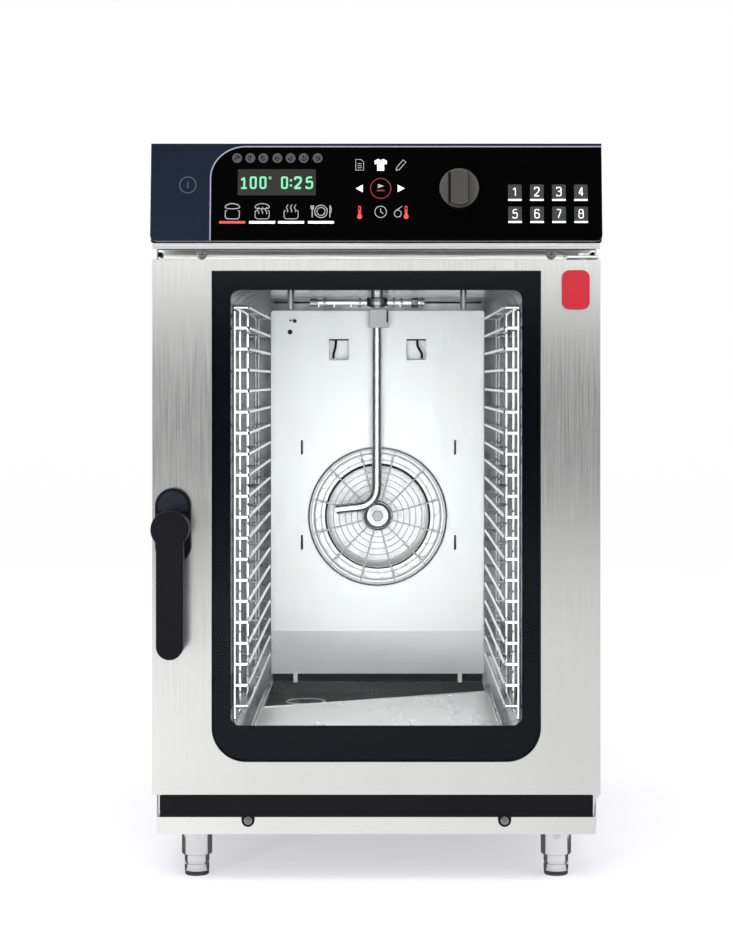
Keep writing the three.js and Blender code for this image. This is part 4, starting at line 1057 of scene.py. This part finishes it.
def chamber_details():
    """The floor's runners, the ceiling's seam, the sump's rim, and a black sheet of painted shade in the gap
    under the baffle.
    """
    runs = [[(side * x, CHAMBER_FRONT + 8, CHAMBER_LOW), (side * x, BAFFLE_FRONT - 20, CHAMBER_LOW)]
            for side in (-1, 1) for x in (152.5, 156.5)]
    fixed("floor_beads", wires(runs, 1.6, sides=3), WIRE, "chamber_steel")
    rim = [(x, y, CHAMBER_LOW + 0.4) for x, y in SUMP_EDGE]
    fixed("sump_rim", wires([bent(rim, 6, 4, closed=True)], 1.1, closed=True), SATIN, "chamber_steel")
    seam = [[(-150, CHAMBER_REAR - 1, CHAMBER_HIGH - 0.5), (150, CHAMBER_REAR - 1, CHAMBER_HIGH - 0.5)]]
    fixed("rear_seam", wires(seam, 1.4), BLACK, "chamber_steel")
    # A black sheet of painted shade closes the gap under the baffle.
    rise = (CHAMBER_LOW + 0.2, BAFFLE_LOW + 6)
    gap_shade = slab(both(150), (BAFFLE_FRONT + 24, BAFFLE_FRONT + 26), rise, 0.4, 1)
    fixed("baffle_gap_shade", gap_shade, BLACK, "chamber_steel")
    depth, rise = (BAFFLE_FRONT + 6, BAFFLE_FRONT + 14), (CHAMBER_LOW + 0.2, BAFFLE_LOW + 1)
    props = [slab(around(side * 117, 3), depth, rise, 0.5, 2) for side in (-1, 1)]
    fixed("baffle_feet", joined(*props), SATIN, "chamber_steel")
    depth = (BAFFLE_FRONT + 14, BAFFLE_FRONT + 15)
    backs = [slab(around(side * HOOK_X, 17), depth, around(HOOK_Z, 18), 0.3, 1) for side in (-1, 1)]
    fixed("hook_backs", joined(*backs), BAFFLE, "chamber_steel")


def strainer():
    top = CHAMBER_LOW - SUMP_DEPTH + 1
    holes = [circle(at, 4.2, 16) for at in circle(DRAIN, 15, 6)]
    disc = plate([circle(DRAIN, 25, 48), circle(DRAIN, 4, 16)] + holes, top - 2, 1.6, 0.4, 2, "up")
    section = [(24.5, -2.5), (28, -2.5), (28, -0.8), (27.2, 0), (25.4, 0), (24.5, -0.8)]
    rim = lathe(section, "z", (*DRAIN, top), 48)
    fixed("strainer_disc", disc, DARK_STEEL, "polished_steel", "drain_strainer")
    fixed("strainer_rim", rim, SATIN, "polished_steel")


BAFFLE_X = 151.5
BAFFLE_TOP, FOLD, BAFFLE_LOW = 679, 224, 162
BAFFLE_FRONT = 616
FAN_Z = 387
HOOK_X, HOOK_Z = 55, 623


def baffle():
    windows = [rounded(around(side * HOOK_X, 14), around(HOOK_Z, 14), 3, steps=4) for side in (-1, 1)]
    slots = [rounded(around(x, 1.5), around(z, 10.5), 1.45, steps=5)
             for x in (-107.5, 110) for z in (485, 350)]
    face_edge = rounded(both(BAFFLE_X), (FOLD, BAFFLE_TOP), 0, 4, 5)
    face = plate([face_edge, circle((0, FAN_Z), 90, 72)] + windows + slots, BAFFLE_FRONT, SHEET, 0.3, 2)
    lower = plate([rounded(both(BAFFLE_X), (BAFFLE_LOW, FOLD + 0.3), 0)], 0, SHEET, 0.3, 1)
    lean = Matrix.Translation((0, BAFFLE_FRONT, FOLD)) @ Matrix.Rotation(math.atan2(8, 62), 4, "X")
    lower.transform(lean @ Matrix.Translation((0, 0, -FOLD)))
    sides = []
    for side in (-1, 1):
        start = side * BAFFLE_X - (SHEET if side > 0 else 0)
        profile = [(BAFFLE_FRONT, BAFFLE_TOP - 3), (BAFFLE_FRONT, FOLD), (BAFFLE_FRONT + 8, BAFFLE_LOW)]
        profile += [(BAFFLE_FRONT + 20, BAFFLE_LOW), (BAFFLE_FRONT + 12, FOLD)]
        profile.append((BAFFLE_FRONT + 12, BAFFLE_TOP - 3))
        sides.append(plate([profile[::-1]], start, SHEET, 0.3, 1, "side"))
    collar_profile = [(90, 0), (90.8, -1.2), (92.5, -1.6), (94.2, -1.2), (95, 0), (90, 0)]
    collar = lathe(collar_profile, "y", (0, BAFFLE_FRONT, FAN_Z), 72)
    fixed("baffle_face", joined(face, lower, *sides), BAFFLE, "chamber_steel", "fan_baffle")
    fixed("baffle_collar", collar, BAFFLE, "chamber_steel")
    # Black discs on the baffle's face: painted shade standing for three small holes.
    holes = [((-124.4, 648.6), 3.5), ((-117.3, 664.2), 2.5), ((-123.7, 664.9), 1.5)]
    hole_shades = [lathe([(0, -0.2), (r, -0.2), (r, 0.4), (0, 0.4)], "y", (x, BAFFLE_FRONT, z), 24)
             for (x, z), r in holes]
    fixed("baffle_hole_shades", joined(*hole_shades), BLACK, "chamber_steel")


def hook_window_shadows():
    """The curved tongues of the liner that reach through the baffle's two windows, drawn in black as painted
    shadow, with a black bar of painted shade along each window's top edge.
    """
    tongue_shadows = []
    for side in (-1, 1):
        x = side * HOOK_X
        top, foot = (-59.3, -62.6) if side < 0 else (56.4, 63.1)
        curve = bent([(top, 618, 637), (top, 614.6, 628), (foot, 614.6, 618), (foot, 614.6, 611)], 9)
        tongue_shadows.append(wires([curve], 1.7, sides=3))
        tongue_shadows.append(slab(around(x, 14), (614.4, 616), (636.4, 638.4), 0.3, 1))
    fixed("hook_window_shadows", joined(*tongue_shadows), BLACK, "chamber_steel")


def fan_guard():
    low, high = span("fan_guard")
    radius = 98.5
    ring_y = low.y + 1.2
    radii = [20 + (radius - 1.2 - 20) * k / 9 for k in range(10)]
    turns = even_turns(64)
    rings = [[(r * math.cos(a), ring_y, FAN_Z + r * math.sin(a)) for a in turns] for r in radii]
    hoops = wires(rings[:-1], 0.7, closed=True)
    rim = wires(rings[-1:], 1.2, closed=True)
    ends = (19.5, radius - 0.4)
    spokes = [[(r * math.cos(a), high.y - 1.2, FAN_Z + r * math.sin(a)) for r in ends]
              for a in even_turns(12, 0.5)]
    guard = joined(hoops, wires(spokes, 1.1))
    fixed("guard_wires", guard, SATIN, "rack_wire", "fan_guard")
    # The outermost guard ring is dark steel: painted shade for the gap between the guard and the baffle.
    fixed("guard_rim", rim, DARK_STEEL, "rack_wire")


def fan():
    low, high = span("fan_wheel")
    outer, inlet = 95, 75
    front, rear = low.y, high.y
    at = (0, 0, FAN_Z)
    disc = [(6.4, rear - 3), (20, rear - 3), (60, rear - 2.4), (outer - 1, rear - 2.4), (outer, rear - 1.6)]
    disc = lathe(disc + [(outer, rear), (6.4, rear)], "y", at, 72)
    ring = [(inlet, front + 0.4), (inlet + 0.6, front), (outer - 0.5, front), (outer, front + 0.6)]
    ring = lathe(ring + [(outer, front + 2), (inlet, front + 2), (inlet, front + 0.4)], "y", at, 72)
    hub = [(6.4, front + 6), (15, front + 6), (17, front + 8), (20, front + 20)]
    hub = lathe(hub + [(20, rear - 2), (6.4, rear - 2), (6.4, front + 6)], "y", at, 40)
    blades = []
    tabs = []
    for lean in even_turns(24):
        section = []
        for step in range(6):
            share = step / 5
            radius = inlet + 2 + (outer - inlet - 4) * share
            turn = lean + 0.16 * share * share
            section.append((radius * math.cos(turn), FAN_Z + radius * math.sin(turn)))
        tabs.append([(x, front - 0.1, z) for x, z in section])
        shift = [math.cos(lean + math.pi / 2) * 1.2, math.sin(lean + math.pi / 2) * 1.2]
        back = [(x + shift[0], z + shift[1]) for x, z in section]
        blades.append(plate([section + back[::-1]], front + 1, rear - front - 2.5, 0.2, 1))
    piece("fan_rotor", joined(disc, ring, hub, *blades), FAN_SHEET, "fan", "polished_steel", "fan_wheel")
    piece("fan_blade_seams", wires(tabs, 0.5, sides=1), ZINC, "fan", "polished_steel")
    # Black rings of painted shade in the gaps round the blades' inlet and round the hub.
    shades = []
    for r in (71.8, 18.6):
        section = [(r, front - 0.3), (r + 3, front - 0.3), (r + 3, front + 1), (r, front + 1)]
        shades.append(lathe(section + section[:1], "y", at, 72))
    piece("fan_ring_shades", joined(*shades), BLACK, "fan", "polished_steel")


def fan_nut():
    low, high = span("fan_shaft")
    nut = plate([circle((0, FAN_Z), 8, 6)], low.y, 4.6, 0.8, 2)
    washer = [(0, low.y + 4.4), (14, low.y + 4.4), (14, low.y + 5.6), (0, low.y + 5.6)]
    shaft = lathe([(0, low.y + 1), (6, low.y + 1), (6, high.y), (0, high.y)], "y", (0, 0, FAN_Z), 32)
    piece("fan_washer", lathe(washer, "y", (0, 0, FAN_Z), 40), SATIN, "fan", "polished_steel")
    piece("fan_nut", joined(nut, shaft), DARK_STEEL, "fan", "polished_steel", "fan_shaft")


def steam_tube():
    low, high = span("steam_tube")
    x, y, radius = -1, 596, 6.75
    end = (-58, y, 398)
    path = bent([(x, y, high.z), (x, y, 404), (end[0], y, end[2])], 44, 14)
    tube = wires([path], radius, sides=6)
    lip = wires([[(end[0] - 0.6, y, end[2] - 0.06), (end[0] + 2.2, y, end[2] + 0.3)]], radius + 0.35, sides=6)
    fixed("steam_pipe", joined(tube, lip), TUBE, "polished_steel", "steam_tube")
    low, high = span("tube_holder")
    block = slab((low.x + 1, high.x - 1), (low.y, high.y), (low.z + 4, low.z + 26), 1.6, 3)
    flange = slab((low.x, high.x), (low.y, high.y), (low.z, low.z + 6), 1.2, 3)
    neck = [(0, low.z + 25), (8, low.z + 25), (8, high.z - 4), (10, high.z - 2), (10, high.z), (0, high.z)]
    neck = lathe(neck, "z", centred(low, high, "z"), 32)
    fixed("tube_block", joined(block, flange, neck), PALE, "grey_plastic", "tube_holder")
    rod = wires([[(high.x - 2.4, low.y - 0.2, low.z + 7), (high.x - 2.4, low.y - 0.2, low.z + 24)]], 1.1)
    fixed("tube_holder_pin", rod, BLACK, "grey_plastic")


def wash_arm():
    low, high = span("wash_arm")
    x, y, z = 0, 345, 682
    profile = [(0, -8), (9, -8), (12, -6.4), (14, -3), (14, 3.4), (12.6, 5.4), (9, 6), (0, 6)]
    hub = lathe(profile, "z", (x, y, z), 48)
    wing_z = (z - 8, z - 4.4)
    wings = [slab(both(13.5), around(y, 3.4), wing_z, 0.8, 2), slab(both(3.4), around(y, 13), wing_z, 0.8, 2)]
    left = wires([bent([(-10, y, z - 1), (-60, y, z - 1), (low.x + 1, y + 2, z - 1)], 10)], 4, sides=3)
    right = wires([bent([(10, y, z - 1), (44, y, z - 1), (high.x - 4, y - 3, z - 1)], 12)], 4, sides=3)
    fittings = [
        lathe([(0, 0), (5.5, 0), (5.5, 9), (4.4, 10), (0, 10)], "x", (low.x, y + 1.6, z - 1), 16),
        lathe([(4, 0), (6, 0.6), (6.5, 2), (6.5, 8), (6, 9.4), (4, 10)], "x", (44, y - 1, z - 1), 6),
        lathe([(0, 0), (5, 0), (5.6, 1), (5.6, 5), (0, 6)], "x", (high.x - 6, y - 3, z - 1), 16),
    ]
    collar = [(4, 0), (6.4, 0.4), (6.4, 3.4), (4.4, 3.8), (4, 3.8)]
    fittings += [lathe(collar, "x", (place, y, z - 1), 20) for place in (20, 30, -24, -70)]
    nozzle = [(0, -1.8), (1.6, -1.4), (2.4, 0), (2.4, 2)]
    jets = [lathe(nozzle, "z", (place, y, z - 5.4), 12) for place in (-76, -56, -34, 30)]
    piece("wash_tube", joined(left, right, *jets), FOOT_STEEL, "wash_rotor", "polished_steel", "wash_arm")
    piece("wash_fittings", joined(hub, *wings, *fittings), DARK_STEEL, "wash_rotor", "polished_steel")


RAIL_X, POST_X = 152, 168.4
RACK_FRONT, RACK_REAR = 88, 588
RACK_TOP, RACK_FOOT = 666.8, 174.5
FIRST_RUNG, PITCH, RUNGS = 641.9, 24.85, 19
UPRIGHTS = (190, 344, 521)
TIE = 344
WIRE_RADIUS = 2.05
HOOK_HEIGHTS = (FIRST_RUNG, FIRST_RUNG - (RUNGS - 1) * PITCH)
POCKET_REACH = 188


def rack(label, side):
    def at(x, y, z):
        return (side * x, y, z)

    rungs = []
    ties = []
    for index in range(-1, RUNGS):
        z = FIRST_RUNG - index * PITCH
        path = [at(POST_X, RACK_FRONT, z), at(RAIL_X, RACK_FRONT, z)]
        path += [at(RAIL_X, RACK_REAR, z), at(POST_X, RACK_REAR, z)]
        rungs.append(bent(path, 5, 4))
        ties.append([at(RAIL_X, TIE, z), at(POST_X, TIE, z)])
    loop = [at(POST_X, RACK_FRONT, RACK_FOOT), at(POST_X, RACK_FRONT, RACK_TOP)]
    loop += [at(POST_X, RACK_REAR, RACK_TOP), at(POST_X, RACK_REAR, RACK_FOOT)]
    frame_loop = wires([bent(loop, 7, 5, closed=True)], WIRE_RADIUS, closed=True)
    posts = [[at(POST_X, y, RACK_FOOT), at(POST_X, y, RACK_TOP)] for y in UPRIGHTS]
    stubs = [[at(POST_X, y, z), at(POCKET_REACH, y, z)]
             for y in (RACK_FRONT, RACK_REAR) for z in HOOK_HEIGHTS]
    bars = wires(rungs + ties + posts + stubs, WIRE_RADIUS)
    whole = joined(frame_loop, bars)
    piece("rack_wires_" + label, whole, WIRE, label + "_rack", "rack_wire", "rack_" + label)


def rack_pocket_shades():
    """Black patches on the liner's walls: painted shade in the mouths of the pockets that the racks hang in.
    """
    pocket_shades = []
    for side in (-1, 1):
        for y in (RACK_FRONT, RACK_REAR):
            for z in HOOK_HEIGHTS:
                x = sorted((side * (CHAMBER_X - 0.4), side * (CHAMBER_X + 0.6)))
                pocket_shades.append(slab(x, around(y, 5), (z - 5, z + 12.5), 0.3, 1))
    fixed("rack_pocket_shades", joined(*pocket_shades), BLACK, "chamber_steel")


def probe():
    low, high = span("temperature_probe")
    tip = [(0, low.y), (1.6, low.y + 0.6), (2.5, low.y + 2.6), (2.5, high.y), (0, high.y)]
    rod = lathe(tip, "y", centred(low, high, "y"), 20)
    fixed("probe_rod", rod, BLACK, "polished_steel", "temperature_probe")


def hidden_parts():
    """The parts inside the casing keep their CAD shape and get real finishes."""
    finishes = {
        "insulation_jacket": WOOL,
        "heating_element": BRIGHT,
        "fan_motor": MOTOR,
        "wash_feed": BRIGHT,
        "control_board": CIRCUIT,
        "display_module": BLACK,
        "encoder_body": GREY,
        "hinge_pin_top": BRIGHT,
        "hinge_pin_bottom": BRIGHT,
        "latch_cam": BRIGHT,
    }
    for node, material in finishes.items():
        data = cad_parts[node].data
        for index in range(len(data.materials)):
            data.materials[index] = material


# ---- Stage, light and camera ----

# The camera's distance from the door's front, and its place in a piece's own coordinates.
CAMERA_DISTANCE = 2550
CAMERA_X = 7.7
CAMERA_Z = 580.4
LENS = 85.4
SHIFT = (-0.0176, -0.0957)
# The sweep: half its width, where it starts in front, where its wall stands, its height and its bend.
SWEEP = (8.0, -6.0, 7.5, 5.0, 1.5)
BACKDROP = (0.50, 0.50, 0.515)
BACKDROP_GLOW = 0.51
WORLD_GLOW = 0.96

# The card behind the camera: half its width, its y, foot and top in metres, and its brightness by height.
CAMERA_WALL = (1.6, -3.9, 0.02, 2.6)
CARD_STOPS = [
    (0.02, 0.9), (0.12, 0.6), (0.25, 0.3), (0.42, 0.08), (0.6, 0.08), (0.72, 0.35), (0.85, 0.97), (0.92, 1.7),
    (1.25, 1.7), (1.32, 0.02), (2.6, 0.02),
]
# The card over the floor in front: half its width, its front, back and height, and its brightness
# from left to right.
FLOOR_CARD = (2.0, -3.8, -0.46, 0.004)
FLOOR_CARD_STOPS = [(-2.0, 1.2), (-0.36, 1.2), (0.36, 0.84), (2.0, 0.84)]
# The dark card under the cabinet, which draws the edges of the round feet: half its width, back and
# height in metres, and its front in a piece's own coordinates.
UNDER_CARD = (0.42, 0.42, 0.004)
UNDER_CARD_FRONT = 68
UNDER_SHADE = 0.13

# Each light's place, target and size in metres, and its power in watts.
LIGHTS = {
    "key": ((-0.5, -2.0, 2.6), (0, 0, 0.4), (2.2, 1.4), 45),
    "fill": ((1.8, -1.6, 1.4), (0, 0, 0.4), (1.4, 1.8), 15),
    "low_side": ((-0.9, -1.7, 0.15), (-0.23, 0, 0.36), (0.2, 0.2), 16),
}
# The light in the chamber: its place in a piece's own coordinates, its size and its power.
CHAMBER_LIGHT = ((0, 68, 420), (0.34, 0.50), 1.85)


def camera():
    data = bpy.data.cameras.new("camera")
    data.lens = LENS
    data.sensor_width = 36
    data.shift_x, data.shift_y = SHIFT
    data.clip_end = 50
    obj = in_scene("camera", data)
    obj.location = WORLD @ Vector((CAMERA_X, -CAMERA_DISTANCE, CAMERA_Z))
    obj.rotation_euler = (math.pi / 2, 0, 0)
    SCENE.camera = obj


def area_light(name, place, target, size, power, shown_in_gloss=False):
    data = bpy.data.lights.new(name, "AREA")
    data.shape = "RECTANGLE"
    data.size, data.size_y = size
    data.energy = power
    obj = in_scene(name, data)
    obj.location = place
    obj.rotation_euler = (Vector(target) - Vector(place)).to_track_quat("-Z", "Y").to_euler()
    obj.visible_camera = False
    obj.visible_glossy = shown_in_gloss


def glowing(name, stops, axis="Z"):
    """A light-giving material that changes along an axis; stops are (place in metres, brightness)."""
    material, tree, out = bare_material(name)
    low, high = stops[0][0], stops[-1][0]
    emission = add_node(tree, "Emission")
    place = add_node(tree, "TexCoord")
    split = add_node(tree, "SeparateXYZ")
    ranged = add_node(tree, "MapRange", From_Min=low, From_Max=high)
    ramp = add_node(tree, "ValToRGB")
    elements = ramp.color_ramp.elements
    while len(elements) < len(stops):
        elements.new(0.5)
    for element, (place_along, brightness) in zip(elements, stops):
        element.position = (place_along - low) / (high - low)
        element.color = (brightness, brightness, brightness, 1)
    connect(
        tree, (place, "Object", split, "Vector"), (split, axis, ranged, "Value"),
        (ranged, "Result", ramp, "Fac"), (ramp, "Color", emission, "Color"),
        (emission, "Emission", out, "Surface"),
    )
    return material


def reflection_card(name, half, first, last, stops, axis="Z"):
    """A card that only reflections see, between two (y, z) edges."""
    points = [(x, *edge) for edge, row in ((first, (-half, half)), (last, (half, -half))) for x in row]
    mesh = bpy.data.meshes.new(name)
    mesh.from_pydata(points, [], [(0, 1, 2, 3)])
    mesh.materials.append(glowing(name + "_glow", stops, axis))
    obj = in_scene(name, mesh)
    obj.visible_camera = False
    obj.visible_diffuse = False
    obj.visible_shadow = False


def sweep():
    """The floor, which bends up into the wall behind."""
    bm = bmesh.new()
    width, front, back, rise, radius = SWEEP
    turns = [math.radians(10 * k) for k in range(1, 10)]
    section = [(front, 0.0), (back - radius, 0.0)]
    section += [(back - radius + radius * math.sin(a), radius - radius * math.cos(a)) for a in turns]
    section.append((back, rise))
    rows = [[bm.verts.new((x, y, z)) for x in (-width, width)] for y, z in section]
    for low, high in zip(rows, rows[1:]):
        bm.faces.new((low[0], low[1], high[1], high[0]))
    mesh = new_mesh(bm)
    mesh.shade_smooth()
    white = shader("studio_white", BACKDROP, 0.8)
    bumped(white, noise(white, 40.0), 0.05, 0.001)
    set_inputs(
        white.node_tree.nodes[PRINCIPLED], Specular_IOR_Level=0.0, Emission_Color=(0.965, 0.955, 1.0, 1),
        Emission_Strength=BACKDROP_GLOW,
    )
    mesh.materials.append(white)
    in_scene("studio_sweep", mesh)


def stage():
    sweep()
    world = bpy.data.worlds.new("studio")
    world.use_nodes = True
    set_inputs(world.node_tree.nodes["Background"], Color=(1, 1, 1, 1), Strength=WORLD_GLOW)
    SCENE.world = world
    SCENE.view_settings.view_transform = "Standard"

    half, y, low, high = CAMERA_WALL
    reflection_card("camera_wall", half, (y, low), (y, high), CARD_STOPS)
    half, front, back, z = FLOOR_CARD
    reflection_card("floor_card", half, (front, z), (back, z), FLOOR_CARD_STOPS, "X")
    half, back, z = UNDER_CARD
    front = (WORLD @ Vector((0, UNDER_CARD_FRONT, 0))).y
    shade = [(side * half, UNDER_SHADE) for side in (-1, 1)]
    reflection_card("under_card", half, (front, z), (back, z), shade, "X")
    for name, values in LIGHTS.items():
        area_light(name, *values)
    at, size, power = CHAMBER_LIGHT
    place = WORLD @ Vector(at)
    area_light("chamber_light", place, place + Vector((0, 1, 0)), size, power, True)


def racks():
    rack("left", -1)
    rack("right", 1)


BUILDERS = (
    casing, rear_fasteners, front_screws, corner_blocks, vent, connections, fascia, display, keypad, marks,
    selector_knob, door, handle, trough, feet, chamber, chamber_details, strainer, baffle, hook_window_shadows,
    fan_guard, fan, fan_nut, steam_tube, wash_arm, racks, rack_pocket_shades, probe, hidden_parts, stage, camera,
)

for build in BUILDERS:
    build()
